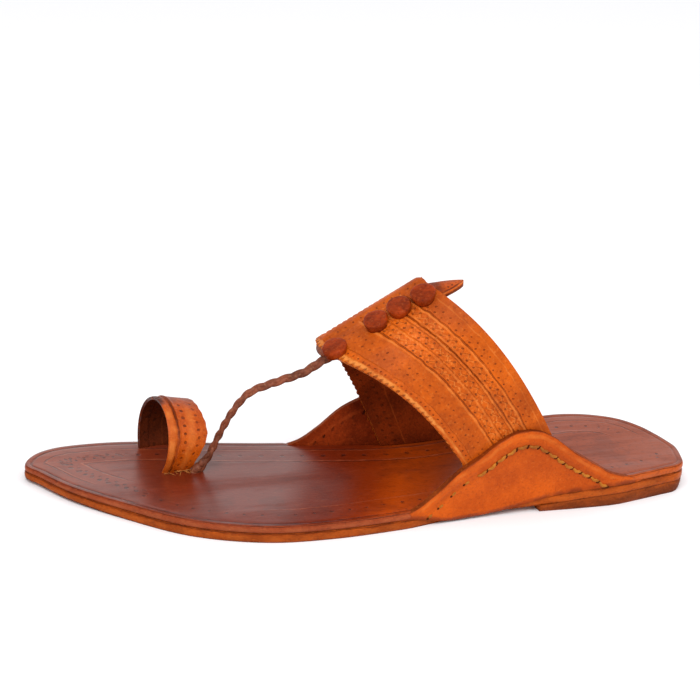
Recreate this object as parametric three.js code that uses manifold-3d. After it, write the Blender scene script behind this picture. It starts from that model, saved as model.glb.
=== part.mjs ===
// A left kolhapuri sandal in millimetres: X runs from the heel to the toe, Y to the outer
// (lateral) side of the foot and Z up from the floor. Each piece of leather is one closed solid.
import * as THREE from 'three';
import { mergeVertices } from 'three/addons/utils/BufferGeometryUtils.js';
import Module from 'manifold-3d';

const wasm = await Module();
wasm.setup();

// Sole: outline sizes, layer thicknesses and the lines where the lift and toe spring begin
const LENGTH = 266.6;
const BALL_WIDTH = 82;
const INSOLE = 3.0;
const OUTSOLE = 3.8;
const HEEL_LIFT = 5.0;
const HEEL_BEVEL = 1.0;
const TOE_SPRING = 1.5;
const TOE_SKIVE = 0.25;
const GLUE = 0.3;
const LIFT_END = 0.2708;
const SHANK = { from: 0.1189, to: 0.4227 };
const TOE = { from: 0.838, to: 1.0 };
const SOLE_ENDS = { from: 0.015, to: 0.985 };

// Upper: leather thicknesses and the last under the instep
const BAND = 2.6;
const EAR_THICKNESS = 2.4;
const STRAP = 1.6;
const INSTEP_HEIGHT = 68.5;
const INSTEP_AT = 0.4936;
const INSTEP_SLOPE = 0.61;
const FLARE = 3.0;
const FLARE_HEIGHT = 22;
const CREST = { rear: 0.4242, front: 0.5817 };
const SWEEP = { lateralRear: 56, lateralFront: 60.5, medialRear: 34, medialFront: 36.3 };
const SWEEP_POWER = 0.87;
const CORD_RAISE = 0.8;
const CORD_FULL_AT = 0.6;
const EAR_HEIGHT = 30.5;
const EARS = {
  lateral: { side: 1, rear: 0.1007, front: 0.4936 },
  medial: { side: -1, rear: 0.1675, front: 0.5797 },
};
const POCKET_REACH = 10;

// Toe ring, toe braid and the leather discs
const RING = { along: 0.7806, across: -0.33, width: 34, height: 27, depth: 16.5, wall: 2.2, yaw: 7.7 };
const RING_CENTRE_RISE = 10;
const RING_LEAN = 0.085;
const RING_CONE = 0.08;
const RING_FOOT_DEPTH = 12;
const RING_GATHER = 0.7;
const RING_RIM = { share: 0.2, raise: 0.6, fade: 0.3 };
const BRAID_RADIUS = 1.5;
const BRAID_TAPER = 0.2;
const BRAID_PITCH = 8;
const BRAID_RELIEF = 0.16;
const BRAID_SEAT = 0.29;
const BRAID_ROOT = { across: 3, along: 0.95 };
const DISC_RADIUS = 0.0195 * LENGTH;
const DISC = 1.5;
const DISC_REACH = 6.2;
const STRAP_WIDTH = 13;
const LEAF_HALF_WIDTH = { lateral: 9.5, medial: 6.5 };
const LEAF_SHOULDER = 0.15;
const LEAF_LENGTH = 15.2;
const LEAF_LIFT = 0.1;
const LEAF_SHARE = 0.35;
const LEAF_TIP = 0.04;
const LEAF_POWER = 0.8;

// Shares of LENGTH and BALL_WIDTH, a row for each section from the heel tip to the toe tip
const SOLE_SECTIONS = [
  { along: 0, lateral: 0.0902, medial: 0.0902 },
  { along: 0.0045, lateral: 0.183, medial: 0.005 },
  { along: 0.012, lateral: 0.267, medial: -0.0805 },
  { along: 0.0248, lateral: 0.306, medial: -0.19 },
  { along: 0.0491, lateral: 0.3305, medial: -0.3 },
  { along: 0.0885, lateral: 0.367, medial: -0.3745 },
  { along: 0.1335, lateral: 0.404, medial: -0.406 },
  { along: 0.1898, lateral: 0.414, medial: -0.405 },
  { along: 0.3113, lateral: 0.42, medial: -0.375 },
  { along: 0.443, lateral: 0.468, medial: -0.36 },
  { along: 0.5949, lateral: 0.528, medial: -0.42 },
  { along: 0.6962, lateral: 0.515, medial: -0.475 },
  { along: 0.7974, lateral: 0.39, medial: -0.545 },
  { along: 0.8785, lateral: 0.165, medial: -0.567 },
  { along: 0.9494, lateral: -0.08, medial: -0.54 },
  { along: 0.9848, lateral: -0.27, medial: -0.465 },
  { along: 1, lateral: -0.36, medial: -0.36 },
];

// Top edge of an ear: shares of its own length and of EAR_HEIGHT
const EAR_PROFILE = [
  { along: 0, rise: 0.04 },
  { along: 0.1, rise: 0.15 },
  { along: 0.2, rise: 0.38 },
  { along: 0.3, rise: 0.63 },
  { along: 0.39, rise: 0.86 },
  { along: 0.46, rise: 0.98 },
  { along: 0.53, rise: 1 },
  { along: 0.6, rise: 0.93 },
  { along: 0.68, rise: 0.78 },
  { along: 0.77, rise: 0.62 },
  { along: 0.86, rise: 0.34 },
  { along: 0.93, rise: 0.14 },
  { along: 1, rise: 0.04 },
];

// Rows across the band from its rear edge to its front edge: the folded front edge and the two
// cords of the tooling stand up by shares of CORD_RAISE
const BAND_ROWS = [
  { across: 0, raise: 0 },
  { across: 0.11, raise: 0 },
  { across: 0.21, raise: 0 },
  { across: 0.3, raise: 0 },
  { across: 0.31, raise: 1 },
  { across: 0.336, raise: 1 },
  { across: 0.345, raise: 0 },
  { across: 0.354, raise: 1 },
  { across: 0.38, raise: 1 },
  { across: 0.39, raise: 0 },
  { across: 0.48, raise: 0 },
  { across: 0.6, raise: 0 },
  { across: 0.72, raise: 0 },
  { across: 0.84, raise: 0 },
  { across: 0.94, raise: 0 },
  { across: 0.95, raise: 0.7 },
  { across: 1, raise: 0.7 },
];

// Toe braid: shares of its run from the crest to the ring's foot, and of the drop between them
const BRAID_ROUTE = [
  { along: 0, across: 0, height: 1 },
  { along: 0.11, across: 0.08, height: 0.93 },
  { along: 0.2, across: 0.16, height: 0.865 },
  { along: 0.41, across: 0.34, height: 0.78 },
  { along: 0.602, across: 0.51, height: 0.695 },
  { along: 0.68, across: 0.62, height: 0.61 },
  { along: 0.766, across: 0.75, height: 0.46 },
  { along: 0.838, across: 0.89, height: 0.283 },
  { along: 0.88, across: 0.95, height: 0.177 },
  { along: 0.94, across: 0.985, height: 0.075 },
  { along: 1, across: 1, height: 0 },
];

// Discs along the crest: share of the band from its rear edge to its front edge
const DISC_PLACES = [0.09, 0.31, 0.54, 0.93];

const SOLE_ROWS = 44;
const SOLE_COLUMNS = 4;
const BAND_COLUMNS = 36;
const EAR_COLUMNS = 26;
const EAR_ROWS = 4;
const RING_COLUMNS = 22;
const RING_ROWS = 15;
const LEG_COLUMNS = 2;
const BRAID_STEPS = 60;
const BRAID_SIDES = 10;
const STRAP_ROWS = 22;
const STRAP_COLUMNS = 6;
const DISC_SIDES = 20;
const HALVINGS = 24;
const TINY = 0.05;

const ease = THREE.MathUtils.smoothstep;
const mix = THREE.MathUtils.lerp;

// The outline is one closed curve, up the lateral side and back down the medial side
const outlineOf = (row, side) => new THREE.Vector3(row.along * LENGTH, row[side] * BALL_WIDTH, 0);
const OUTLINE = new THREE.CatmullRomCurve3(
  [
    ...SOLE_SECTIONS.slice(0, -1).map((row) => outlineOf(row, 'lateral')),
    ...SOLE_SECTIONS.slice(1).reverse().map((row) => outlineOf(row, 'medial')),
  ],
  true,
);

function rimPoint(side, share, inset = 0) {
  const t = side > 0 ? share / 2 : 1 - share / 2;
  const point = OUTLINE.getPoint(t);
  const tangent = OUTLINE.getTangent(t);
  return new THREE.Vector3(point.x + tangent.y * inset, point.y - tangent.x * inset, 0);
}

// Share of the rim from the heel tip at a place along the sole
function rimShare(side, x) {
  let low = 0;
  let high = 1;
  for (let step = 0; step < HALVINGS; step += 1) {
    const middle = (low + high) / 2;
    if (rimPoint(side, middle).x < x) low = middle;
    else high = middle;
  }
  return low;
}

// Distance of the rim from the middle line at a place along the sole
const rimAt = (side, x) => Math.abs(rimPoint(side, rimShare(side, x)).y);

const skive = (x) => 1 - TOE_SKIVE * ease(x / LENGTH, TOE.from, TOE.to);

// Underside of the outsole: up on the lift at the heel, flat at the ball, sprung at the toe
function tread(x) {
  const share = x / LENGTH;
  const heel = (HEEL_LIFT + GLUE) * (1 - ease(share, SHANK.from, SHANK.to));
  return heel + TOE_SPRING * ease(share, TOE.from, TOE.to);
}

const outsoleTop = (x) => tread(x) + OUTSOLE * skive(x);
const bed = (x) => outsoleTop(x) + GLUE + INSOLE * skive(x);

// Turns a mesh inside out where its map mirrors it, so that its faces point out
function facingOut(geometry) {
  const place = geometry.attributes.position;
  const index = geometry.index.array;
  const a = new THREE.Vector3();
  const b = new THREE.Vector3();
  const c = new THREE.Vector3();
  let volume = 0;
  for (let i = 0; i < index.length; i += 3) {
    a.fromBufferAttribute(place, index[i]);
    b.fromBufferAttribute(place, index[i + 1]);
    c.fromBufferAttribute(place, index[i + 2]);
    volume += a.dot(b.cross(c));
  }
  if (volume < 0) {
    for (let i = 0; i < index.length; i += 3) {
      [index[i + 1], index[i + 2]] = [index[i + 2], index[i + 1]];
    }
  }
  return geometry;
}

function welded(geometry) {
  geometry.deleteAttribute('normal');
  geometry.deleteAttribute('uv');
  return mergeVertices(geometry);
}

// A closed sheet of leather: place(u, v, w) gives each point of a grid, w being 0 inside, 1 outside
function sheet(columns, rows, place) {
  const geometry = welded(new THREE.BoxGeometry(1, 1, 1, columns, rows, 1));
  const grid = geometry.attributes.position;
  for (let i = 0; i < grid.count; i += 1) {
    const point = place(grid.getX(i) + 0.5, grid.getY(i) + 0.5, grid.getZ(i) + 0.5);
    grid.setXYZ(i, point.x, point.y, point.z);
  }
  return facingOut(geometry);
}

function toSolid(geometry) {
  return new wasm.Manifold(
    new wasm.Mesh({
      numProp: 3,
      vertProperties: new Float32Array(geometry.attributes.position.array),
      triVerts: new Uint32Array(geometry.index.array),
    }),
  );
}

function toGeometry(solid) {
  const mesh = solid.getMesh();
  const geometry = new THREE.BufferGeometry();
  geometry.setAttribute('position', new THREE.BufferAttribute(mesh.vertProperties, 3));
  geometry.setIndex(new THREE.BufferAttribute(mesh.triVerts, 1));
  return geometry;
}

// One layer of the sole between two height functions, with its lower edge drawn in by a bevel
function soleLayer(from, to, low, high, bevel) {
  return sheet(SOLE_COLUMNS, SOLE_ROWS, (u, v, w) => {
    const share = mix(from, to, v);
    const inset = bevel * (1 - w);
    const left = rimPoint(1, share, inset);
    const right = rimPoint(-1, share, inset);
    const point = right.lerp(left, u);
    point.z = w > 0 ? high(point.x) : low(point.x);
    return point;
  });
}

// Height of the last's instep line
const crestHeight = (x) => bed(x) + GLUE + INSTEP_HEIGHT + (INSTEP_AT * LENGTH - x) * INSTEP_SLOPE;

// Half width of the last where the upper stands: the outline less the leather that stands on it
const halfWidth = (side, x) => rimAt(side, x) - EAR_THICKNESS - GLUE - BAND + FLARE;
const tuck = (rise) => FLARE * (1 - ease(rise, 0, FLARE_HEIGHT));

// Level of a point on the last: 1 on its surface, more outside
function lastLevel(side, x, y, z) {
  const foot = bed(x) + GLUE;
  const across = (Math.abs(y) + tuck(z - foot)) / halfWidth(side, x);
  const rise = Math.max(0, z - foot) / (crestHeight(x) - foot);
  return across * across + rise * rise;
}

// Moves a point of the last outward along the surface's normal
function offLast(side, point, distance) {
  const { x, y, z } = point;
  const normal = new THREE.Vector3(
    lastLevel(side, x + TINY, y, z) - lastLevel(side, x - TINY, y, z),
    lastLevel(side, x, y + TINY, z) - lastLevel(side, x, y - TINY, z),
    lastLevel(side, x, y, z + TINY) - lastLevel(side, x, y, z - TINY),
  );
  return point.clone().addScaledVector(normal.normalize(), distance);
}

// Point of the last on the band: angle 0 at the foot and a quarter turn at the crest
function bandPoint(side, angle, across, distance) {
  const rise = Math.sin(angle);
  const sweep = side > 0
    ? mix(SWEEP.lateralRear, SWEEP.lateralFront, across)
    : mix(SWEEP.medialRear, SWEEP.medialFront, across);
  const crest = mix(CREST.rear, CREST.front, across) * LENGTH;
  const x = crest - sweep * (1 - rise) ** SWEEP_POWER;
  const foot = bed(x) + GLUE;
  const z = foot + (crestHeight(x) - foot) * rise;
  const y = side * (halfWidth(side, x) * Math.cos(angle) - tuck(z - foot));
  return offLast(side, new THREE.Vector3(x, Math.abs(y) < TINY / 2 ? 0 : y, z), distance);
}

// The instep band: one arched wall, open in front, behind and below
function makeUpper() {
  return sheet(BAND_COLUMNS, BAND_ROWS.length - 1, (u, v, w) => {
    const row = BAND_ROWS[Math.round(v * (BAND_ROWS.length - 1))];
    const side = u <= 0.5 ? 1 : -1;
    const angle = Math.PI * (u <= 0.5 ? u : 1 - u);
    const shown = ease(Math.sin(angle), EAR_HEIGHT / INSTEP_HEIGHT, CORD_FULL_AT);
    return bandPoint(side, angle, row.across, w * (BAND + CORD_RAISE * row.raise * shown));
  });
}

// Side wall of the last at any place along the sole and height above the outsole
function wallPoint(side, x, z, distance) {
  const foot = bed(x) + GLUE;
  const rise = Math.max(0, z - foot) / (crestHeight(x) - foot);
  const y = side * (halfWidth(side, x) * Math.sqrt(1 - rise * rise) - tuck(z - foot));
  return offLast(side, new THREE.Vector3(x, y, z), distance);
}

const earCurve = new THREE.CatmullRomCurve3(
  EAR_PROFILE.map((row) => new THREE.Vector3(row.along, row.rise, 0)),
);

// An ear stands on the outsole's rim outside the band, between its rear and front tips
function makeEar(ear) {
  return sheet(EAR_COLUMNS, EAR_ROWS, (u, v, w) => {
    const profile = earCurve.getPoint(u);
    const x = mix(ear.rear, ear.front, profile.x) * LENGTH;
    const low = outsoleTop(x) + GLUE;
    const z = low + v * profile.y * EAR_HEIGHT;
    return wallPoint(ear.side, x, z, BAND + GLUE + w * EAR_THICKNESS);
  });
}

// Room for an ear in the insole's edge
function earPocket(ear) {
  return sheet(EAR_COLUMNS, 1, (u, v, w) => {
    const x = mix(ear.rear * LENGTH - GLUE, ear.front * LENGTH + GLUE, u);
    const z = mix(tread(x), bed(x) + INSOLE, v);
    const wall = wallPoint(ear.side, x, bed(x), BAND + w * POCKET_REACH);
    return wall.setZ(z);
  });
}

// Toe ring: an arch standing across the sole, its ends passed down through the insole
const ringCentre = new THREE.Vector3(RING.along * LENGTH, RING.across * BALL_WIDTH, 0);

// Point of the ring's own turned frame: along its axis towards the toe, across it to the side
function ringPlace(along, across, z) {
  const turn = THREE.MathUtils.degToRad(RING.yaw);
  return new THREE.Vector3(
    ringCentre.x + along * Math.cos(turn) - across * Math.sin(turn),
    ringCentre.y + along * Math.sin(turn) + across * Math.cos(turn),
    z,
  );
}

const ringCrown = RING.height - RING_CENTRE_RISE;
const ringBelow = Math.asin(RING_CENTRE_RISE / ringCrown);

function ringWall(clearance, raise) {
  const foot = outsoleTop(ringCentre.x) + GLUE;
  const spring = bed(ringCentre.x) + GLUE;
  const legs = LEG_COLUMNS / RING_COLUMNS;
  return sheet(RING_COLUMNS, RING_ROWS, (u, v, w) => {
    const arch = THREE.MathUtils.clamp((u - legs) / (1 - 2 * legs), 0, 1);
    const angle = mix(-ringBelow, Math.PI + ringBelow, arch);
    const rise = (Math.sin(angle) + Math.sin(ringBelow)) / (1 + Math.sin(ringBelow));
    const wall = mix(-RING.wall - clearance, clearance, w);
    const rolled = v > 1 - RING_RIM.share ? RING_RIM.raise * raise : 0;
    const off = wall + rolled * w * ease(rise, 0, RING_RIM.fade);
    const cone = 1 - RING_CONE * (1 - v) * rise;
    const across = Math.cos(angle) * (RING.width / 2 + off) * cone;
    const leg = Math.min(u, 1 - u) / legs;
    const high = rise * (RING.height - GLUE) + off * Math.max(Math.sin(angle), 0);
    const z = leg < 1 ? mix(foot - clearance, spring, leg) : spring + high * cone;
    const depth = mix(RING_FOOT_DEPTH, RING.depth, ease(rise, 0, RING_GATHER));
    const behind = (1 - v) * (depth + 2 * clearance) - clearance;
    const lean = RING_LEAN * Math.max(z - spring, 0);
    return ringPlace(RING.depth / 2 - behind - lean, across, z);
  });
}

// The toe strap runs under the band's crest; its rear end is a pointed leaf
function crestPoint(y, along, distance) {
  const side = y < 0 ? -1 : 1;
  const behind = Math.min(along, 0);
  const x = mix(CREST.rear, CREST.front, Math.max(along, 0)) * LENGTH;
  const foot = bed(x) + GLUE;
  const across = Math.abs(y) / halfWidth(side, x);
  const z = foot + (crestHeight(x) - foot) * Math.sqrt(1 - across * across);
  const point = offLast(side, new THREE.Vector3(x, y, z), distance);
  point.x += behind * LEAF_LENGTH;
  point.z -= behind * LEAF_LENGTH * LEAF_LIFT;
  return point;
}

function makeStrip() {
  return sheet(STRAP_COLUMNS, STRAP_ROWS, (u, v, w) => {
    const along = v < LEAF_SHARE ? v / LEAF_SHARE - 1 : (v - LEAF_SHARE) / (1 - LEAF_SHARE);
    const leaf = u > 0.5 ? LEAF_HALF_WIDTH.lateral : LEAF_HALF_WIDTH.medial;
    const narrow = along < 0 ? mix(LEAF_TIP, 1, (1 + along) ** LEAF_POWER) : 1;
    const half = mix(leaf * narrow, STRAP_WIDTH / 2, ease(along, 0, LEAF_SHOULDER));
    const y = (2 * u - 1) * half;
    return crestPoint(y, along, -GLUE - STRAP * (1 - w));
  });
}

// Middle line of the toe braid, from under the crest to the near foot of the ring
const braidEnd = ringPlace(
  -RING.depth * BRAID_SEAT,
  (RING.width / 2) * Math.cos(ringBelow) + GLUE + BRAID_RADIUS,
  bed(ringCentre.x) - INSOLE / 2,
);
const braidStart = crestPoint(BRAID_ROOT.across, BRAID_ROOT.along, -GLUE - STRAP / 2 - BRAID_RADIUS);
const braidCurve = new THREE.CatmullRomCurve3(
  BRAID_ROUTE.map((row) => new THREE.Vector3(
    mix(braidStart.x, braidEnd.x, row.along),
    mix(braidStart.y, braidEnd.y, row.across),
    mix(braidEnd.z, braidStart.z, row.height),
  )),
);

// A tube with the braid's plaits raised as two crossing waves around it
function braidTube(clearance, relief) {
  const geometry = welded(new THREE.CylinderGeometry(1, 1, 1, BRAID_SIDES, BRAID_STEPS));
  const grid = geometry.attributes.position;
  const frames = braidCurve.computeFrenetFrames(BRAID_STEPS, false);
  const length = braidCurve.getLength();
  for (let i = 0; i < grid.count; i += 1) {
    const step = Math.round((0.5 - grid.getY(i)) * BRAID_STEPS);
    const share = step / BRAID_STEPS;
    const flat = Math.hypot(grid.getX(i), grid.getZ(i));
    const angle = Math.atan2(grid.getZ(i), grid.getX(i));
    const phase = (2 * Math.PI * share * length) / BRAID_PITCH;
    const wave = Math.abs(Math.cos(angle - phase)) + Math.abs(Math.cos(angle + phase)) - 1;
    const thickness = BRAID_RADIUS * (1 - BRAID_TAPER * share) * (1 + relief * wave);
    const radius = flat * (thickness + clearance);
    const point = braidCurve.getPointAt(share);
    point.addScaledVector(frames.normals[step], radius * Math.cos(angle));
    point.addScaledVector(frames.binormals[step], radius * Math.sin(angle));
    grid.setXYZ(i, point.x, point.y, point.z);
  }
  return facingOut(geometry);
}

// A disc lies on the lateral slope of the crest, bent to the band
function makeDisc(across) {
  const geometry = welded(new THREE.CylinderGeometry(DISC_RADIUS, DISC_RADIUS, 1, DISC_SIDES, 1));
  const grid = geometry.attributes.position;
  const seat = BAND + CORD_RAISE + GLUE;
  const centre = crestPoint(DISC_REACH, across, seat);
  const run = centre.distanceTo(crestPoint(DISC_REACH, across + TINY, seat)) / TINY;
  const spread = centre.distanceTo(crestPoint(DISC_REACH + TINY, across, seat)) / TINY;
  for (let i = 0; i < grid.count; i += 1) {
    const along = across + grid.getX(i) / run;
    const reach = DISC_REACH + grid.getZ(i) / spread;
    const point = crestPoint(reach, along, seat + (grid.getY(i) + 0.5) * DISC);
    grid.setXYZ(i, point.x, point.y, point.z);
  }
  return facingOut(geometry);
}

const object = new THREE.Group();

function add(name, geometry, leather) {
  const mesh = new THREE.Mesh(geometry, new THREE.MeshStandardMaterial(leather));
  mesh.name = name;
  object.add(mesh);
}

const TAN = { color: 0xc8641e, roughness: 0.5 };
const RED_BROWN = { color: 0x7a3118, roughness: 0.35 };
const EDGE_BROWN = { color: 0xa8501e, roughness: 0.5 };
const DARK_BROWN = { color: 0x6e3a22, roughness: 0.6 };

const { from, to } = SOLE_ENDS;
const insoleBlank = soleLayer(from, to, (x) => outsoleTop(x) + GLUE, bed, 0);
const insole = [
  earPocket(EARS.lateral),
  earPocket(EARS.medial),
  ringWall(GLUE, 0),
  braidTube(GLUE, 0),
].reduce((solid, room) => solid.subtract(toSolid(room)), toSolid(insoleBlank));

const liftTo = rimShare(1, LIFT_END * LENGTH);
const toeStrap = toSolid(makeStrip()).add(toSolid(braidTube(0, BRAID_RELIEF)));

add('outsole', soleLayer(from, to, tread, outsoleTop, GLUE), EDGE_BROWN);
add('heel_lift', soleLayer(from, liftTo, () => 0, (x) => tread(x) - GLUE, HEEL_BEVEL), DARK_BROWN);
add('insole', toGeometry(insole), RED_BROWN);
add('upper', makeUpper(), TAN);
add('ear_lateral', makeEar(EARS.lateral), TAN);
add('ear_medial', makeEar(EARS.medial), TAN);
add('toe_strap', toGeometry(toeStrap), DARK_BROWN);
add('toe_ring', ringWall(0, 1), TAN);
DISC_PLACES.forEach((across, i) => add(`disc_${i + 1}`, makeDisc(across), RED_BROWN));

// The origin is the middle of the box's underside
const box = new THREE.Box3().setFromObject(object);
object.position.set(-(box.min.x + box.max.x) / 2, -(box.min.y + box.max.y) / 2, -box.min.z);

export default object;
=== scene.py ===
# %% [markdown]
# # A kolhapuri sandal for the left foot
# The sandal is all vegetable-tanned leather: a two-layer sole on a low heel lift, one wide tooled
# band over the instep, two ears that hold the band to the sole, a toe ring and a plaited lace that
# ties the ring to the band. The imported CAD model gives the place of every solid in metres, and the
# pieces here are finer copies of the same forms with the tooling and the stitches added.

# %% Load the CAD model
import bisect
import math
import random

import bmesh
import bpy
from mathutils import Matrix, Vector, kdtree


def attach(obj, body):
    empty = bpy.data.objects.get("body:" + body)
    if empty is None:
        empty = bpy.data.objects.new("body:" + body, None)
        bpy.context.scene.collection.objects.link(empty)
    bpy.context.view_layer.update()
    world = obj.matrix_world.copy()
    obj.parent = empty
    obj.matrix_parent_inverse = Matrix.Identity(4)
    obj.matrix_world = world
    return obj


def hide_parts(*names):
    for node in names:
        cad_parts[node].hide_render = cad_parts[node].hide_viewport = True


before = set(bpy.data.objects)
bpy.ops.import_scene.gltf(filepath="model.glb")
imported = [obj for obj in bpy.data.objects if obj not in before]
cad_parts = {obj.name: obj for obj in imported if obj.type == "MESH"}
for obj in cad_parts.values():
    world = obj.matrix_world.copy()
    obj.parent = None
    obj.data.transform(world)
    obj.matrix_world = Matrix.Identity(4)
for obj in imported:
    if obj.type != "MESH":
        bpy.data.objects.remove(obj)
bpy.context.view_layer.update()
print("CAD nodes:", ", ".join(sorted(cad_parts)))

# %% [markdown]
# ## The last
# A sandal maker cuts the sole from a paper outline and pulls the band over a wooden last. Both are
# written here as functions in millimetres: X runs from the heel to the toe, Y to the outer side of
# the foot and Z up. Every piece below is bent onto them, so the pieces fit as they do on the CAD
# model.

# %% Sizes of the sole and the last in millimetres
# Sole: its size, the thickness of its layers, the bevel of the heel and the spring of the toe
LENGTH = 266.6
BALL_WIDTH = 82
INSOLE = 3.0
OUTSOLE = 3.8
HEEL_LIFT = 5.0
HEEL_BEVEL = 1.0
TOE_SPRING = 1.5
TOE_SKIVE = 0.25
GLUE = 0.3
# Shares of the length where the lift ends, and between which the shank falls and the toe rises
LIFT_END = 0.2708
SHANK = (0.1189, 0.4227)
TOE = (0.838, 1.0)
# Thickness of the band, the ears and the strap
BAND = 2.6
EAR = 2.4
STRAP = 1.6
# Height of the last over the bed, the share of the length where it has that height, and its slope
INSTEP_HEIGHT = 68.5
INSTEP_AT = 0.4936
INSTEP_SLOPE = 0.61
# How far the last is drawn in at the sole, and the height where this ends
FLARE = 3.0
FLARE_HEIGHT = 22
# Shares of the length of the band's rear and front edge at the crest, and how far the feet of the
# two edges lie behind that on the lateral side (1) and the medial side (-1)
CREST = (0.4242, 0.5817)
SWEEP = {1: (56, 60.5), -1: (34, 36.3)}
SWEEP_POWER = 0.87
# Height of the ears, and shares of the length of their rear and front tips
EAR_HEIGHT = 30.5
EARS = {1: (0.1007, 0.4936), -1: (0.1675, 0.607)}
# Shares of each rim between which the rows of the CAD sole lie
SOLE_ENDS = (0.015, 0.985)
MILLIMETRE = 0.001

# Shares of the sole's length and of the ball's width: along, lateral rim, medial rim
SOLE_SECTIONS = (
    (0, 0.0902, 0.0902), (0.0045, 0.183, 0.005), (0.012, 0.267, -0.0805), (0.0248, 0.306, -0.19),
    (0.0491, 0.3305, -0.3), (0.0885, 0.367, -0.3745), (0.1335, 0.404, -0.406),
    (0.1898, 0.414, -0.405), (0.3113, 0.42, -0.375), (0.443, 0.468, -0.36), (0.5949, 0.528, -0.42),
    (0.6962, 0.515, -0.475), (0.7974, 0.39, -0.545), (0.8785, 0.165, -0.567),
    (0.9494, -0.08, -0.54), (0.9848, -0.27, -0.465), (1, -0.36, -0.36),
)
# Top edge of an ear: shares of its length and of its height
EAR_PROFILE = (
    (0, 0.04), (0.1, 0.15), (0.2, 0.38), (0.3, 0.63), (0.39, 0.86), (0.46, 0.98), (0.53, 1),
    (0.6, 0.93), (0.68, 0.78), (0.77, 0.62), (0.86, 0.34), (0.93, 0.14), (1, 0.04),
)


def mix(start, end, share):
    return start + (end - start) * share


def clamp(share):
    return min(max(share, 0), 1)


def ease(value, start=0.0, end=1.0):
    share = clamp((value - start) / (end - start))
    return share * share * (3 - 2 * share)


def bump(value, middle, width):
    """A rounded ridge of height 1 at the middle."""
    return math.exp(-(((value - middle) / width) ** 2))


# %% [markdown]
# A centripetal Catmull-Rom curve goes through every point without loops, so the outline and the
# plaited lace can both be given as a few measured points.

# %% Smooth lines through measured points
def smooth_line(points, steps, closed=False):
    """Points of a centripetal Catmull-Rom curve, with this many steps between two given points."""
    line = []
    count = len(points)
    spans = count if closed else count - 1
    for span in range(spans):
        near = [points[(span + k) % count] for k in (-1, 0, 1, 2)]
        if not closed and span == 0:
            near[0] = near[1] * 2 - near[2]
        if not closed and span == spans - 1:
            near[3] = near[2] * 2 - near[1]
        gap = [math.sqrt((near[k + 1] - near[k]).length) for k in range(3)]
        leave = (near[1] - near[0]) / gap[0] - (near[2] - near[0]) / (gap[0] + gap[1])
        leave = (leave + (near[2] - near[1]) / gap[1]) * gap[1]
        arrive = (near[2] - near[1]) / gap[1] - (near[3] - near[1]) / (gap[1] + gap[2])
        arrive = (arrive + (near[3] - near[2]) / gap[2]) * gap[1]
        for step in range(steps):
            t = step / steps
            cubic = near[1] * 2 - near[2] * 2 + leave + arrive
            square = near[2] * 3 - near[1] * 3 - leave * 2 - arrive
            line.append(near[1] + leave * t + square * t * t + cubic * t ** 3)
    if not closed:
        line.append(points[-1].copy())
    return line


def place_on(line, share):
    """Point of a line at a share of its steps."""
    at = clamp(share) * (len(line) - 1)
    low = min(int(at), len(line) - 2)
    return line[low].lerp(line[low + 1], at - low)


def run_of(line):
    """Length of the line from its start to each of its points."""
    run = [0.0]
    for near, far in zip(line, line[1:]):
        run.append(run[-1] + (far - near).length)
    return run


def between(places, value):
    """The step of a rising list that holds a value, and the value's share of that step."""
    high = min(max(bisect.bisect_left(places, value), 1), len(places) - 1)
    span = max(places[high] - places[high - 1], 1e-6)
    return high, clamp((value - places[high - 1]) / span)


# %% [markdown]
# The outline of the sole is one closed line. It is split at the heel and the toe into a lateral
# and a medial rim, and each rim keeps its length from the heel to each of its points.

# %% Outline of the sole
lateral_rim = [Vector((along * LENGTH, wide * BALL_WIDTH, 0)) for along, wide, _ in SOLE_SECTIONS]
medial_rim = [Vector((along * LENGTH, wide * BALL_WIDTH, 0)) for along, _, wide in SOLE_SECTIONS]
outline = smooth_line(lateral_rim[:-1] + medial_rim[:0:-1], 60, closed=True)
outline.append(outline[0].copy())
half_way = len(outline) // 2
RIM_LINES = {1: outline[:half_way + 1], -1: outline[half_way:][::-1]}
RIM_PLACES = {side: [point.x for point in line] for side, line in RIM_LINES.items()}
RIM_RUNS = {side: run_of(line) for side, line in RIM_LINES.items()}
print("rim lengths in mm:", [round(run[-1]) for run in RIM_RUNS.values()])

# %% [markdown]
# The frame's origin is the middle of the underside of the CAD model, so a point in sandal
# millimetres is moved by the middle of the outline and scaled to metres.

# %% From the sandal's millimetres to the frame's metres
SOLE_ROWS = 44
ends = [
    place_on(RIM_LINES[side], mix(*SOLE_ENDS, row / SOLE_ROWS))
    for side in (1, -1) for row in range(SOLE_ROWS + 1)
]
MIDDLE_X = (min(p.x for p in ends) + max(p.x for p in ends)) / 2
MIDDLE_Y = (min(p.y for p in ends) + max(p.y for p in ends)) / 2


def to_frame(point):
    return Vector((point.x - MIDDLE_X, point.y - MIDDLE_Y, point.z)) * MILLIMETRE


print("middle of the sole:", round(MIDDLE_X, 2), round(MIDDLE_Y, 2))

# %% [markdown]
# The heel stands on its lift and the toe springs up a little, and every height of the sole is a
# function of the place along it. The rims are sampled once, because the last asks for its width
# many times.

# %% Width and heights of the sole
RIM_STEP = 0.25


def line_y(side, x):
    """Signed distance of a rim from the middle line."""
    line = RIM_LINES[side]
    high, share = between(RIM_PLACES[side], x)
    return mix(line[high - 1].y, line[high].y, share)


RIM_TABLES = {
    side: [abs(line_y(side, step * RIM_STEP)) for step in range(int(LENGTH / RIM_STEP) + 1)]
    for side in (1, -1)
}


def rim_at(side, x):
    """Distance of the rim from the middle line."""
    table = RIM_TABLES[side]
    at = min(max(x / RIM_STEP, 0), len(table) - 1.001)
    low = int(at)
    return mix(table[low], table[low + 1], at - low)


def skive(x):
    return 1 - TOE_SKIVE * ease(x / LENGTH, *TOE)


def tread(x):
    share = x / LENGTH
    return (HEEL_LIFT + GLUE) * (1 - ease(share, *SHANK)) + TOE_SPRING * ease(share, *TOE)


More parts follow.
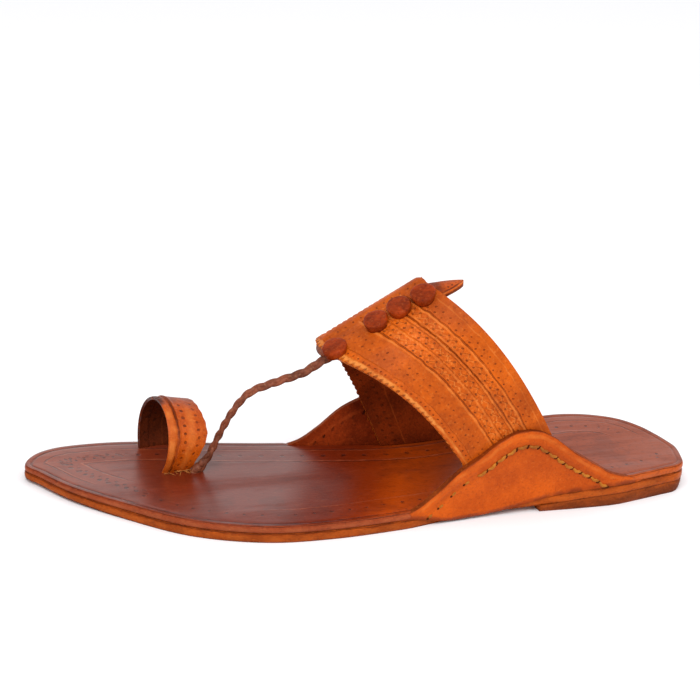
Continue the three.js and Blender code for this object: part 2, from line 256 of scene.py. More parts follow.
def outsole_top(x):
    return tread(x) + OUTSOLE * skive(x)


def bed(x):
    return outsole_top(x) + GLUE + INSOLE * skive(x)


print("sole at the ball:", round(bed(0.7 * LENGTH), 1), "mm high")

# %% [markdown]
# Seen from the toe, the last is a half ellipse that is drawn in a little near the sole. A point of
# the leather is a point of the last, moved out along the last's normal.

# %% Form of the last
def crest_height(x):
    return bed(x) + GLUE + INSTEP_HEIGHT + (INSTEP_AT * LENGTH - x) * INSTEP_SLOPE


def half_width(side, x):
    return rim_at(side, x) - EAR - GLUE - BAND + FLARE


def tuck(rise):
    return FLARE * (1 - ease(rise, 0, FLARE_HEIGHT))


def last_level(side, x, y, z):
    foot = bed(x) + GLUE
    across = (abs(y) + tuck(z - foot)) / half_width(side, x)
    rise = max(0, z - foot) / (crest_height(x) - foot)
    return across * across + rise * rise


def off_last(side, point, distance):
    """Moves a point of the last outward along its surface's normal."""
    x, y, z = point
    reach = 0.3
    normal = Vector((
        last_level(side, x + reach, y, z) - last_level(side, x - reach, y, z),
        last_level(side, x, y + reach, z) - last_level(side, x, y - reach, z),
        last_level(side, x, y, z + reach) - last_level(side, x, y, z - reach),
    ))
    return point + normal.normalized() * distance


def band_point(turn, across, distance):
    """Point over the band: turn goes from 0 at the lateral foot to 1 at the medial foot."""
    side = 1 if turn <= 0.5 else -1
    angle = math.pi * (turn if side > 0 else 1 - turn)
    rise = math.sin(angle)
    x = mix(*CREST, across) * LENGTH - mix(*SWEEP[side], across) * max(1 - rise, 0) ** SWEEP_POWER
    foot = bed(x) + GLUE
    z = foot + (crest_height(x) - foot) * rise
    y = side * (half_width(side, x) * math.cos(angle) - tuck(z - foot))
    return off_last(side, Vector((x, y, z)), distance)


def wall_point(side, x, z, distance):
    """Point beside the foot at a place along the sole and a height."""
    foot = bed(x) + GLUE
    rise = clamp((z - foot) / (crest_height(x) - foot))
    y = side * (half_width(side, x) * math.sqrt(1 - rise * rise) - tuck(z - foot))
    return off_last(side, Vector((x, y, z)), distance)


print("crest of the band:", round(crest_height(mix(*CREST, 0) * LENGTH) + BAND, 1), "mm high")

# %% [markdown]
# ## Making a piece
# Each piece of leather starts as a flat grid, as it would be cut from a hide, and every point of
# the grid is then moved onto the last. The same step writes a UV map named tooling in real
# millimetres, so the stamps and lines of the tooling can be drawn at their true size.

# %% Cut a flat grid and bend it onto the last
def cut_sheet(columns, rows, shape, inside):
    """shape(u, v) gives a point in mm and its place on the map. Faces turn away from inside."""
    leather = bmesh.new()
    bmesh.ops.create_grid(leather, x_segments=columns, y_segments=rows, size=0.5)
    tooling = leather.loops.layers.uv.new("tooling")
    marks = {}
    for vert in leather.verts:
        point, mark = shape(vert.co.x + 0.5, vert.co.y + 0.5)
        vert.co = to_frame(point)
        marks[vert] = mark
    for face in leather.faces:
        for loop in face.loops:
            loop[tooling].uv = marks[loop.vert]
    bmesh.ops.remove_doubles(leather, verts=leather.verts, dist=1e-6)
    bmesh.ops.dissolve_degenerate(leather, edges=leather.edges, dist=1e-7)
    leather.normal_update()
    heart = to_frame(inside)
    turned = sum(
        face.normal.dot(face.calc_center_median() - heart) * face.calc_area()
        for face in leather.faces
    )
    if turned < 0:
        bmesh.ops.reverse_faces(leather, faces=leather.faces)
    return leather


def make_piece(name, leather, finishes, node=None):
    """Turns a bmesh into a smooth piece of the sandal that rides on its one body."""
    mesh = bpy.data.meshes.new(name)
    leather.to_mesh(mesh)
    leather.free()
    for finish in finishes:
        mesh.materials.append(finish)
    mesh.polygons.foreach_set("use_smooth", [True] * len(mesh.polygons))
    piece = bpy.data.objects.new(name, mesh)
    bpy.context.scene.collection.objects.link(piece)
    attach(piece, "root")
    if node:
        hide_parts(node)
    print(name, "has", len(mesh.polygons), "faces")
    return piece


def give_thickness(piece, thickness, rounding, inner=1, rim=2):
    """Thickness goes inward. The flesh side and the cut rim take the next finishes of the piece."""
    wall = piece.modifiers.new("thickness", "SOLIDIFY")
    wall.thickness = thickness * MILLIMETRE
    wall.offset = -1
    wall.material_offset = inner
    wall.material_offset_rim = rim
    edge = piece.modifiers.new("rounded rim", "BEVEL")
    edge.width = rounding * MILLIMETRE
    edge.segments = 2
    edge.limit_method = "ANGLE"
    edge.angle_limit = math.radians(62)
    edge.harden_normals = True


# %% [markdown]
# ## Finishes
# All the leather is vegetable tanned and rubbed with oil, which gives a warm tan that darkens where
# it is burnished or handled. A finish is built from four layers: a broad mottling, a fine fleck,
# the grain as a bump, and the marks of the tools, which in some finishes also carry painted shade
# and painted highlights.

# %% One helper for nodes and one for colours
def node(tree, kind, inputs=None, out=0, **settings):
    """Adds a shader node with its settings and links, and returns one of its outputs."""
    made = tree.nodes.new("ShaderNode" + kind)
    for name, value in settings.items():
        setattr(made, name, value)
    for key, value in (inputs or {}).items():
        if isinstance(value, bpy.types.NodeSocket):
            tree.links.new(value, made.inputs[key])
        else:
            made.inputs[key].default_value = value
    return made.outputs[out]


def dye(code):
    """An sRGB hex colour as linear light."""
    parts = [int(code[k:k + 2], 16) / 255 for k in (0, 2, 4)]
    return [p / 12.92 if p <= 0.04045 else ((p + 0.055) / 1.055) ** 2.4 for p in parts] + [1]


# %% [markdown]
# A tooling mark is a mask from 0 to 1 on the tooling map. A row of punched dots repeats along the
# piece, a tooled line stays at one distance across it.

# %% Masks for punched dots and tooled lines
def times(tree, first, second):
    return node(tree, "Math", {0: first, 1: second}, operation="MULTIPLY")


def larger(tree, first, second):
    return node(tree, "Math", {0: first, 1: second}, operation="MAXIMUM")


def fade(tree, value, start, end, low=0.0, high=1.0):
    """Goes smoothly from low to high as the value goes from start to end."""
    return node(tree, "MapRange", {0: value, 1: start, 2: end, 3: low, 4: high},
                interpolation_type="SMOOTHSTEP")


def tool_line(tree, across, at, width):
    off = node(tree, "Math", {0: across, 1: at}, operation="SUBTRACT")
    off = node(tree, "Math", {0: off}, operation="ABSOLUTE")
    return fade(tree, off, width * 0.2, width * 0.75, 1, 0)


def punched_row(tree, along, across, at, pitch, radius, shift=0.0):
    """Round dots of this radius, one to each pitch, in mm."""
    run = node(tree, "Math", {0: along, 1: shift * pitch}, operation="ADD")
    run = node(tree, "Math", {0: run, 1: pitch / 2}, operation="PINGPONG")
    off = node(tree, "Math", {0: across, 1: at}, operation="SUBTRACT")
    spot = node(tree, "CombineXYZ", {0: run, 1: off})
    reach = node(tree, "VectorMath", {0: spot}, out=1, operation="LENGTH")
    return fade(tree, reach, radius * 0.55, radius, 1, 0)


def zigzag(tree, along, across, at, pitch, swing, width):
    """A tooled line that swings from side to side once in each pitch."""
    wave = node(tree, "Math", {0: along, 1: pitch / 2}, operation="PINGPONG")
    wave = node(tree, "Math", {0: wave, 1: 4 * swing / pitch, 2: at - swing},
                operation="MULTIPLY_ADD")
    off = node(tree, "Math", {0: across, 1: wave}, operation="SUBTRACT")
    return tool_line(tree, off, 0, width)


# %% [markdown]
# The leather shader starts from typical values: an index of refraction of 1.5, no metal, and a
# roughness near 0.5 for oiled leather and 0.3 where the bed of the sole is burnished with a stone.

# %% The leather shader
def tan_leather(name, tone, shade, pit_and_shade_tone, pale_and_highlight_tone, grain, depth, roughness, marks=None,
                specular=0.2, coat=0.0, mottle=22, stretch=(1, 1, 1), flecks=0.45, tint=None):
    """grain, mottle and depth are in mm. marks gives a dark and a light mask, of the tools and in
    some finishes of painted shade and painted highlights, tint replaces the plain mottling, and coat
    is a weight or a function that gives one."""
    finish = bpy.data.materials.new(name)
    finish.use_nodes = True
    tree = finish.node_tree
    tree.nodes.clear()
    place = node(tree, "TexCoord", out=3)
    drawn = node(tree, "Mapping", {0: place, 3: stretch})
    broad = node(tree, "TexNoise",
                 {"Vector": drawn, "Scale": 1000 / mottle, "Detail": 6, "Roughness": 0.65})
    fleck = node(tree, "TexNoise",
                 {"Vector": drawn, "Scale": 1000 / 1.3, "Detail": 4, "Roughness": 0.65})
    pores = node(tree, "TexVoronoi", {"Vector": place, "Scale": 1000 / grain},
                 feature="SMOOTH_F1")
    colour = tint(tree, place, broad) if tint else node(
        tree, "Mix", {0: fade(tree, broad, 0.36, 0.66), 6: dye(shade), 7: dye(tone)},
        out=2, data_type="RGBA")
    for source, start, end, strength, code in (
        (fleck, 0.52, 0.78, flecks, pale_and_highlight_tone), (fleck, 0.46, 0.26, flecks, pit_and_shade_tone),
        (pores, 0.45, 0.8, 0.3, pit_and_shade_tone),
    ):
        colour = node(tree, "Mix",
                      {0: fade(tree, source, start, end, 0, strength), 6: colour, 7: dye(code)},
                      out=2, data_type="RGBA")
    high = node(tree, "Math", {0: times(tree, pores, -0.5 * depth),
                                         1: times(tree, fleck, 0.8 * depth)}, operation="ADD")
    if marks:
        map_place = node(tree, "UVMap", uv_map="tooling")
        wander = node(tree, "TexNoise", {"Vector": place, "Scale": 1000 / 4}, out=1)
        wander = node(tree, "VectorMath", {0: wander, 1: (0.5, 0.5, 0.5)},
                      operation="SUBTRACT")
        wander = node(tree, "VectorMath", {0: wander, "Scale": 1.3}, operation="SCALE")
        map_place = node(tree, "VectorMath", {0: map_place, 1: wander}, operation="ADD")
        along = node(tree, "SeparateXYZ", {0: map_place}, out=0)
        across = node(tree, "SeparateXYZ", {0: map_place}, out=1)
        dark, light = marks(tree, along, across, place)
        worn = node(tree, "TexNoise", {"Vector": place, "Scale": 1000 / 6, "Detail": 2})
        dark = times(tree, dark, fade(tree, worn, 0.32, 0.6, 0.4, 1.0))
        light = times(tree, light, fade(tree, worn, 0.62, 0.36, 0.3, 1.0))
        # Strength of the colour and height in mm of the dark and the light marks
        for mask, strength, code, lift in (
            (dark, 0.8, pit_and_shade_tone, -0.5), (light, 0.55, pale_and_highlight_tone, 0.1),
        ):
            colour = node(tree, "Mix",
                          {0: times(tree, mask, strength), 6: colour, 7: dye(code)}, out=2,
                          data_type="RGBA")
            high = node(tree, "Math", {0: high, 1: times(tree, mask, lift)},
                        operation="ADD")
    relief = node(tree, "Bump", {"Height": high, "Distance": MILLIMETRE, "Strength": 0.9})
    shine = fade(tree, broad, 0.3, 0.7, roughness + 0.09, roughness - 0.09)
    skin = tree.nodes.new("ShaderNodeBsdfPrincipled")
    tree.links.new(colour, skin.inputs["Base Color"])
    tree.links.new(shine, skin.inputs["Roughness"])
    tree.links.new(relief, skin.inputs["Normal"])
    skin.inputs["IOR"].default_value = 1.5
    skin.inputs["Specular IOR Level"].default_value = specular
    skin.inputs["Coat Roughness"].default_value = 0.3
    if callable(coat):
        tree.links.new(coat(tree, place, broad), skin.inputs["Coat Weight"])
    else:
        skin.inputs["Coat Weight"].default_value = coat
    output = tree.nodes.new("ShaderNodeOutputMaterial")
    tree.links.new(skin.outputs[0], output.inputs["Surface"])
    return finish


# %% [markdown]
# ## Tooling of the band
# The band is tooled in rows that follow its edges: raised cords with a dark groove beside them and
# rows of small punched dots between. The map's second value is the distance from the front edge on
# a band 40 mm wide.

# %% Tooled band leather
BAND_WIDE = 40
# Size in mm of the beads left between the stamps
BEAD = 1.5
DOT_PITCH = 3.6
# Share of the band from its front edge, pitch in mm, radius in mm, shift of the row in pitches
DOT_ROWS = (
    (0.075, 2.6, 0.42, 0.0), (0.2, DOT_PITCH, 0.5, 0.2), (0.265, DOT_PITCH, 0.46, 0.7),
    (0.424, DOT_PITCH, 0.52, 0.0), (0.475, DOT_PITCH, 0.48, 0.5), (0.548, DOT_PITCH, 0.56, 0.0),
    (0.595, DOT_PITCH, 0.52, 0.5), (0.697, DOT_PITCH, 0.52, 0.0), (0.745, DOT_PITCH, 0.5, 0.5),
    (0.825, DOT_PITCH, 0.46, 0.3), (0.875, DOT_PITCH, 0.42, 0.8),
)
DARK_LINES = ((0.115, 0.35, 0.45), (0.395, 0.6, 0.85), (0.52, 0.4, 0.5), (0.62, 0.35, 0.5),
              (0.655, 0.6, 0.85), (0.79, 0.6, 0.8))
LIGHT_LINES = ((0.03, 1.0, 0.9), (0.373, 0.9, 0.65), (0.5, 0.8, 0.5), (0.638, 0.8, 0.6),
               (0.675, 0.8, 0.5), (0.772, 0.9, 0.65), (0.93, 0.5, 0.4))
# Share of the band, swing in mm
ZIGZAGS = ((0.449, 0.7), (0.572, 0.7), (0.72, 0.7))


def band_marks(tree, along, across, place):
    dark, light = 0.0, 0.0
    for at, pitch, radius, shift in DOT_ROWS:
        row = punched_row(tree, along, across, at * BAND_WIDE, pitch, radius, shift)
        dark = larger(tree, dark, row)
    for at, width, strength in DARK_LINES:
        line = times(tree, tool_line(tree, across, at * BAND_WIDE, width), strength)
        dark = larger(tree, dark, line)
    for at, width, strength in LIGHT_LINES:
        line = times(tree, tool_line(tree, across, at * BAND_WIDE, width), strength)
        light = larger(tree, light, line)
    for at, swing in ZIGZAGS:
        line = zigzag(tree, along, across, at * BAND_WIDE, DOT_PITCH, swing, 0.5)
        light = larger(tree, light, times(tree, line, 0.55))
        shade = zigzag(tree, along, across, at * BAND_WIDE + 0.45, DOT_PITCH, swing, 0.45)
        dark = larger(tree, dark, times(tree, shade, 0.35))
    beads = node(tree, "TexVoronoi", {"Vector": place, "Scale": 1000 / BEAD})
    tooled = times(tree, fade(tree, across, 0.40 * BAND_WIDE, 0.42 * BAND_WIDE),
                   fade(tree, across, 0.77 * BAND_WIDE, 0.75 * BAND_WIDE))
    light = larger(tree, light, times(tree, fade(tree, beads, 0.4, 0.12, 0, 0.75), tooled))
    dark = larger(tree, dark, times(tree, fade(tree, beads, 0.5, 0.75, 0, 0.3), tooled))
    front_plain = fade(tree, across, 0.40 * BAND_WIDE, 0.34 * BAND_WIDE, 0, 0.32)
    rear_plain = fade(tree, across, 0.79 * BAND_WIDE, 0.86 * BAND_WIDE, 0, 0.32)
    plain = times(tree, larger(tree, front_plain, rear_plain),
                  fade(tree, across, 0.11 * BAND_WIDE, 0.13 * BAND_WIDE))
    return larger(tree, dark, plain), light


# Vegetable-tanned buffalo leather, oiled and stamped by hand: warm tan with darker punched marks
tooled_leather = tan_leather("tooled_tan_leather", "CA5A0A", "A84608", "662406", "E68C40",
                             0.8, 0.12, 0.46, band_marks, specular=0.1, flecks=0.3)


# %% [markdown]
# The inner side of the leather is its flesh side, where the punches show through as soft dark
# marks. Where the leather is cut its pale fibre shows.

# %% Flesh side, cut edge and lap
def flesh_marks(tree, along, across, place):
    row = punched_row(tree, along, across, 3.2, DOT_PITCH, 0.7)
    second = punched_row(tree, along, across, 7.0, DOT_PITCH, 0.7, 0.5)
    return times(tree, larger(tree, row, second), 0.55), tool_line(tree, across, 10.5, 0.6)


# The flesh side is rougher and darker than the grain side
flesh_side = tan_leather("flesh_side_leather", "842E08", "5E1D04", "2C0D04", "9C4414",
                         0.6, 0.2, 0.72, flesh_marks, specular=0.05)
# A cut edge shows the pale fibre of the leather
cut_edge = tan_leather("cut_edge_leather", "C4621C", "A84C10", "6A2A0A", "E09850", 0.5, 0.2, 0.6,
                       flecks=0.6)


# Width of the pinked lap and of each of its teeth in mm
LAP_WIDE = 2.2
TOOTH = 2.6


def lap_marks(tree, along, across, place):
    # Painted shade in the notches between the teeth, and a painted highlight along the lap
    notch_shade = punched_row(tree, along, across, LAP_WIDE - 0.5, TOOTH, 0.62)
    return notch_shade, tool_line(tree, across, 1.0, 1.4)


# The pinked lap is thinner leather, with painted shade in the notches between its teeth and a
# painted highlight along the lap
lap_leather = tan_leather("pinked_lap_leather", "C2600F", "A84A0A", "6A2808", "E69448",
                          0.6, 0.2, 0.5, lap_marks, specular=0.1, flecks=0.5)


# %% [markdown]
# An ear is smooth. Its map's second value is the distance from the top edge, except near the foot,
# where it counts from a high value of its own, so that painted shade can darken the foot too.

# %% Smooth leather of the ears
# Height in mm of the painted shade at an ear's foot, and value of the tooling map at that height
EAR_FOOT_RISE = 3
EAR_FOOT_MARK = 100


def ear_marks(tree, along, across, place):
    # Painted shade along the top edge and at the foot, and a painted highlight 2 mm below the edge
    rim_shade = times(tree, tool_line(tree, across, -0.1, 1.0), 0.85)
    channel = times(tree, tool_line(tree, across, 6.0, 3.2), 0.3)
    foot_shade = fade(tree, across, EAR_FOOT_MARK + 0.8, EAR_FOOT_MARK + 2.8, 0, 1)
    dark = larger(tree, rim_shade, channel)
    return larger(tree, dark, foot_shade), times(tree, tool_line(tree, across, 2.0, 1.6), 0.5)


def lining_marks(tree, along, across, place):
    holes = punched_row(tree, along, across, 6.0, 4.9, 0.9)
    return holes, times(tree, tool_line(tree, across, 4.6, 1.6), 0.5)


# Smooth grain side, pulled tight over the last and rubbed with oil
ear_leather = tan_leather("smooth_tan_leather", "C4530A", "AC4406", "6A2608", "DA7A30",
                          0.7, 0.08, 0.42, ear_marks, specular=0.1, flecks=0.22, mottle=16)
# The inside of an ear is paler than the inside of the band, and its seam shows through
ear_lining = tan_leather("ear_lining", "94340E", "661E06", "320E04", "BA5222", 0.6, 0.2, 0.7,
                         lining_marks, specular=0.05, flecks=0.45)
# The top edge of an ear is cut, then dyed dark and rubbed round
dyed_rim = tan_leather("dyed_rim_leather", "8A3A0C", "662608", "3A1404", "A85A20", 0.6, 0.16, 0.6,
                       specular=0.06)
print("tan leathers ready")

# %% [markdown]
# ## The burnished bed of the sole
# The insole is rubbed with a stone until it shines. Its border carries a groove just inside the rim
# and sparse punched marks, and the rubbing leaves long streaks from heel to toe. Under the band its
# colour holds a painted glow of light thrown from the band, and painted shade darkens it at the rim.

# %% Burnished insole leather
# Place along the sole in metres and the tone there; the orange stops under the band are a painted
# glow of light thrown from the band
BED_TONES_AND_BAND_GLOW = (
    (-0.14, "8E4022"), (-0.08, "8A3814"), (-0.05, "7C3214"), (-0.029, "9C3A08"),
    (-0.016, "AA4006"), (-0.004, "822A06"), (0.012, "681E06"), (0.032, "6C220C"),
    (0.075, "6C220C"), (0.145, "863A20"),
)
# The tones and the gloss of the bed lie in bands that run aslant: mm forward for each mm to the
# inner side
BED_SLANT = 0.43


def bed_run(tree, place):
    """Place along the sole, measured aslant."""
    x = node(tree, "SeparateXYZ", {0: place}, out=0)
    y = node(tree, "SeparateXYZ", {0: place}, out=1)
    return node(tree, "Math", {0: y, 1: -BED_SLANT, 2: x}, operation="MULTIPLY_ADD")


def bed_tint_and_band_glow(tree, place, broad):
    x = bed_run(tree, place)
    drift = node(tree, "Math", {0: broad, 1: 0.016, 2: -0.008}, operation="MULTIPLY_ADD")
    x = node(tree, "Math", {0: x, 1: drift}, operation="ADD")
    # The ramp gives the tone of the bed and, under the band, a painted glow of light from the band
    low, high = BED_TONES_AND_BAND_GLOW[0][0], BED_TONES_AND_BAND_GLOW[-1][0]
    share = node(tree, "MapRange", {0: x, 1: low, 2: high})
    colour = node(tree, "ValToRGB", {0: share})
    tones = colour.node.color_ramp.elements
    while len(tones) < len(BED_TONES_AND_BAND_GLOW):
        tones.new(0.5)
    for stop, (at, code) in zip(tones, BED_TONES_AND_BAND_GLOW):
        stop.position = (at - low) / (high - low)
        stop.color = dye(code)
    patches = node(tree, "TexNoise", {"Vector": place, "Scale": 1000 / 16, "Detail": 5})
    streaks = larger(tree, fade(tree, broad, 0.44, 0.3, 0, 0.6),
                     fade(tree, patches, 0.5, 0.36, 0, 0.32))
    return node(tree, "Mix", {0: streaks, 6: colour, 7: dye("4A1408")}, out=2,
                data_type="RGBA")


def bed_wax(tree, place, broad):
    """The wax gloss is worn off under the arch of the foot."""
    x = bed_run(tree, place)
    gloss = larger(tree, fade(tree, x, 0.018, 0.036), fade(tree, x, -0.028, -0.042, 0, 0.65))
    return times(tree, gloss, fade(tree, broad, 0.4, 0.6, 0.4, 0.9))


def bed_marks(tree, along, across, place):
    """Distances from the rim, pitches and radii are in mm, places on the sole in metres."""
    x = node(tree, "SeparateXYZ", {0: place}, out=0)
    y = node(tree, "SeparateXYZ", {0: place}, out=1)
    inner_side = fade(tree, y, -0.004, -0.010)
    outer_side = fade(tree, y, 0.004, 0.010)
    waist = times(tree, fade(tree, x, 0.06, 0.04), fade(tree, x, -0.075, -0.06))
    toe = fade(tree, x, 0.085, 0.1)
    outer_dots = times(tree, punched_row(tree, along, across, 10.2, 7.8, 0.8), outer_side)
    inner_dots = times(tree, punched_row(tree, along, across, 13.4, 8.4, 1.1), inner_side)
    groove = times(tree, tool_line(tree, across, 2.6, 0.8), fade(tree, x, -0.06, 0.03, 0.3, 0.9))
    # The bed darkens over the last 2.2 mm towards its rim: painted shade
    bed_rim_shade = fade(tree, across, 2.2, 0.2, 0, 0.6)
    inner_lines = larger(tree, tool_line(tree, across, 7.5, 0.6),
                         tool_line(tree, across, 19.2, 0.7))
    stamps = larger(tree, punched_row(tree, along, across, 12.6, 4.6, 1.2),
                    punched_row(tree, along, across, 15.0, 4.6, 0.9, 0.5))
    dark = larger(tree, larger(tree, outer_dots, inner_dots), larger(tree, groove, bed_rim_shade))
    dark = larger(tree, dark, times(tree, times(tree, inner_lines, inner_side), 0.7))
    dark = larger(tree, dark, times(tree, stamps, toe))
    pale = larger(tree, tool_line(tree, across, 8.3, 0.6), tool_line(tree, across, 18.4, 0.7))
    pale = times(tree, pale, inner_side)
    outer_line = times(tree, times(tree, tool_line(tree, across, 15.0, 0.6), outer_side), waist)
    return dark, larger(tree, pale, times(tree, outer_line, 0.8))


# Stone-burnished vegetable-tanned leather: a deep red-brown under a soft wax gloss
insole_leather = tan_leather("burnished_insole_leather", "8A3A20", "6B2812", "3A1006", "A8583A",
                             1.1, 0.06, 0.36, bed_marks, specular=0.12, coat=bed_wax, mottle=30,
                             stretch=(0.3, 1.7, 1), flecks=0.25, tint=bed_tint_and_band_glow)


# %% [markdown]
# The edges of the sole are trimmed, dyed and rubbed, and a dark seam shows where two layers meet.
# A painted shadow line runs along the bottom of the outsole's edge.
# The lace, the thong and the discs are cut from thinner hides with their own dyes.

# %% Sole edges, heel lift, lace, thong and discs
def edge_marks(tree, along, across, place):
    # A dark seam at the top of each edge, and 3.75 mm down, along the outsole's bottom, a painted
    # shadow line
    seam = larger(tree, tool_line(tree, across, -0.05, 0.5), tool_line(tree, across, -3.75, 0.5))
    return times(tree, seam, 0.75), times(tree, tool_line(tree, across, -1.9, 1.8), 0.5)


def edge_tint(tree, place, broad):
    """The edge of the insole is tan at the heel and dyed dark in front."""
    x = node(tree, "SeparateXYZ", {0: place}, out=0)
    tan = node(tree, "Mix", {0: broad, 6: dye("9A3E0C"), 7: dye("C4581A")}, out=2,
               data_type="RGBA")
    red = node(tree, "Mix", {0: broad, 6: dye("6A260E"), 7: dye("A0441E")}, out=2,
               data_type="RGBA")
    return node(tree, "Mix", {0: fade(tree, x, -0.06, 0.02), 6: tan, 7: red}, out=2,
                data_type="RGBA")


# Edges of the stacked sole, trimmed with a knife, dyed and rubbed
sole_edge = tan_leather("dyed_sole_edge", "AA4A0E", "823408", "401604", "C06424",
                        0.9, 0.16, 0.45, edge_marks, specular=0.08, stretch=(1, 1, 3))
insole_edge = tan_leather("rubbed_insole_edge", "A04418", "843414", "3E1408", "B8683C",
                          0.9, 0.14, 0.42, edge_marks, specular=0.12, stretch=(1, 1, 3),
                          tint=edge_tint)
heel_leather = tan_leather("brown_heel_leather", "92400E", "682C0A", "321206", "A85622",
                           0.9, 0.18, 0.5, specular=0.08, stretch=(1, 1, 3))
# Waxed leather lace of the plait
lace_leather = tan_leather("waxed_lace_leather", "86462E", "5E301E", "2E120A", "AC7450",
                           0.7, 0.16, 0.5, flecks=0.6, mottle=9)
# Raw hide thong that sews the ears
thong_leather = tan_leather("raw_thong", "B8701E", "8A4A12", "5A300A", "D09444", 0.6, 0.14, 0.5,
                            specular=0.12)
# Dark patches that stand for the holes of the thong: painted shade
thong_hole_shade = tan_leather("thong_hole_shade", "5A2A0A", "401A06", "261004", "6C3814", 0.6, 0.1, 0.8,
                         specular=0.05)
disc_leather = tan_leather("red_brown_disc_leather", "983408", "722404", "340E04", "B45A2C",
                           0.8, 0.18, 0.42, specular=0.08, flecks=0.5, mottle=7)
print("all leathers ready:", len(bpy.data.materials))

# %% [markdown]
# ## The sole
# Each layer of the sole is one closed grid. Its columns go once round the rim, and its rows go from
# the middle line over the top, round the edge and back along the underside. Both ends of the rows
# meet on the middle line, where the doubles are merged.

# %% Sole layers
SPINE_ENDS = (15, 258)
rim_tree = kdtree.KDTree(2 * (half_way + 1))
rim_marks = []
for rim_side, rim_line in RIM_LINES.items():
    for rim_point, rim_run in zip(rim_line, RIM_RUNS[rim_side]):
        rim_tree.insert(rim_point, len(rim_marks))
        rim_marks.append(rim_run)
rim_tree.balance()


def rim_place(around):
    """Point of the rim and the point of the middle line beside it."""
    side = 1 if around <= 0.5 else -1
    share = around * 2 if side > 0 else 2 - around * 2
    x = LENGTH * (1 - math.cos(math.pi * share)) / 2
    spine_y = (line_y(1, x) + line_y(-1, x)) / 2
    return Vector((x, line_y(side, x), 0)), Vector((mix(*SPINE_ENDS, x / LENGTH), spine_y, 0))


def sole_layer(low, high, inset, edge_round, columns, rows, groove=0.0):
    """inset(side, x, depth) draws the rim in, with depth 0 at the top edge and 1 at the bottom."""
    top, edge = rows

    def shape(u, v):
        point, spine = rim_place(u)
        side = 1 if u <= 0.5 else -1
        row = round(v * (2 * top + edge))
        if row <= top:
            depth, inward = 0, 1 - math.sin(math.pi / 2 * row / top)
        elif row < top + edge:
            depth, inward = (row - top) / edge, 0
        else:
            depth, inward = 1, 1 - math.sin(math.pi / 2 * (2 * top + edge - row) / top)
        toward = (spine - point).normalized()
        turn = edge_round * (1 - math.sin(math.pi * depth) ** 0.5)
        start = point + toward * (inset(side, point.x, depth) + turn)
        place = start + (spine - start) * inward
        _, index, distance = rim_tree.find(Vector((place.x, place.y, 0)))
        z = mix(high(place.x), low(place.x), depth)
        if depth == 0:
            z -= groove * bump(distance, 2.6, 0.5)
        mark_across = distance if depth in (0, 1) else -(high(place.x) - z)
        place.z = z
        return place, (rim_marks[index], mark_across)

    return cut_sheet(columns, 2 * top + edge, shape, Vector((LENGTH / 2, 0, low(LENGTH / 2))))


def finish_edge(layer):
    """The edge of a layer and its underside take the next finish."""
    tooling = layer.loops.layers.uv["tooling"]
    for face in layer.faces:
        if face.normal.z < 0.5 or min(loop[tooling].uv.y for loop in face.loops) < 0:
            face.material_index = 1


def ear_room(side, x):
    """1 where an ear stands beside the sole, 0 elsewhere."""
    rear, front = (share * LENGTH for share in EARS[side])
    return ease(x, rear + 3, rear + 7) * (1 - ease(x, front - 9, front - 4))


def ear_drop(side, x):
    """How far the ear comes down over the outsole's edge, from 0 to 1."""
    rear, front = (share * LENGTH for share in EARS[side])
    full = ease(x, mix(rear, front, 0.3), mix(rear, front, 0.6))
    return full * (1 - ease(x, front - 24, front - 2))


insole_sheet = sole_layer(
    lambda x: outsole_top(x) + 0.05, bed,
    lambda side, x, depth: (EAR + 0.1) * ear_room(side, x), 0.6, 400, (26, 6), groove=0.3)
finish_edge(insole_sheet)
make_piece("insole_bed", insole_sheet, [insole_leather, insole_edge],
           "insole")
outsole_sheet = sole_layer(
    tread, outsole_top,
    lambda side, x, depth: (EAR + 0.1) * ear_drop(side, x), 0.3, 320, (12, 4))
make_piece("outsole_layer", outsole_sheet, [sole_edge], "outsole")

# %% [markdown]
# The heel lift is the same outline cut off in front of the heel. The whole layer is made first and
# then cut with a plane, and the cut is filled, as a knife would leave it.

# %% Heel lift
lift_sheet = sole_layer(
    lambda x: 0.0, lambda x: tread(x) - 0.05,
    lambda side, x, depth: HEEL_BEVEL * depth, 0.3, 320, (12, 4))
cut_at = to_frame(Vector((LIFT_END * LENGTH, 0, 0)))
whole_lift = lift_sheet.verts[:] + lift_sheet.edges[:] + lift_sheet.faces[:]
bmesh.ops.bisect_plane(lift_sheet, geom=whole_lift, plane_co=cut_at, plane_no=(1, 0.08, 0),
                       clear_outer=True)
open_edges = [edge for edge in lift_sheet.edges if edge.is_boundary]
bmesh.ops.holes_fill(lift_sheet, edges=open_edges)
make_piece("heel_lift_layer", lift_sheet, [heel_leather], "heel_lift")

# %% [markdown]
# ## The instep band
# One arched sheet goes from the lateral to the medial edge of the sole. The cords and grooves of
# its tooling are real relief in the grid, the punched dots are in the finish. A Solidify modifier
# gives the sheet its thickness inward, and its inner side takes the rough flesh side.

# %% Band
BAND_COLUMNS = 250
BAND_ROWS = 96
# Share of the band from its front edge and height or depth in mm
CORDS = ((0.373, 0.3), (0.5, 0.22), (0.638, 0.26), (0.675, 0.26), (0.772, 0.28))
GROOVES = ((0.115, 0.15), (0.395, 0.25), (0.655, 0.25), (0.79, 0.25), (0.52, 0.12))


def even_turns(across, distance, steps=600):
    """Turns of the band at even steps along one of its rows, and the row's length."""
    line = [band_point(step / steps, across, distance) for step in range(steps + 1)]
    run = run_of(line)

    def turn_at(share):
        high, part = between(run, share * run[-1])
        return (high - 1 + part) / steps

    return turn_at, run[-1]


def band_relief(front_share):
    raised = sum(high * bump(front_share, at, 0.011) for at, high in CORDS)
    sunk = sum(deep * bump(front_share, at, 0.009) for at, deep in GROOVES)
    return raised - sunk + 0.3 * (1 - ease(front_share, 0.045, 0.06))


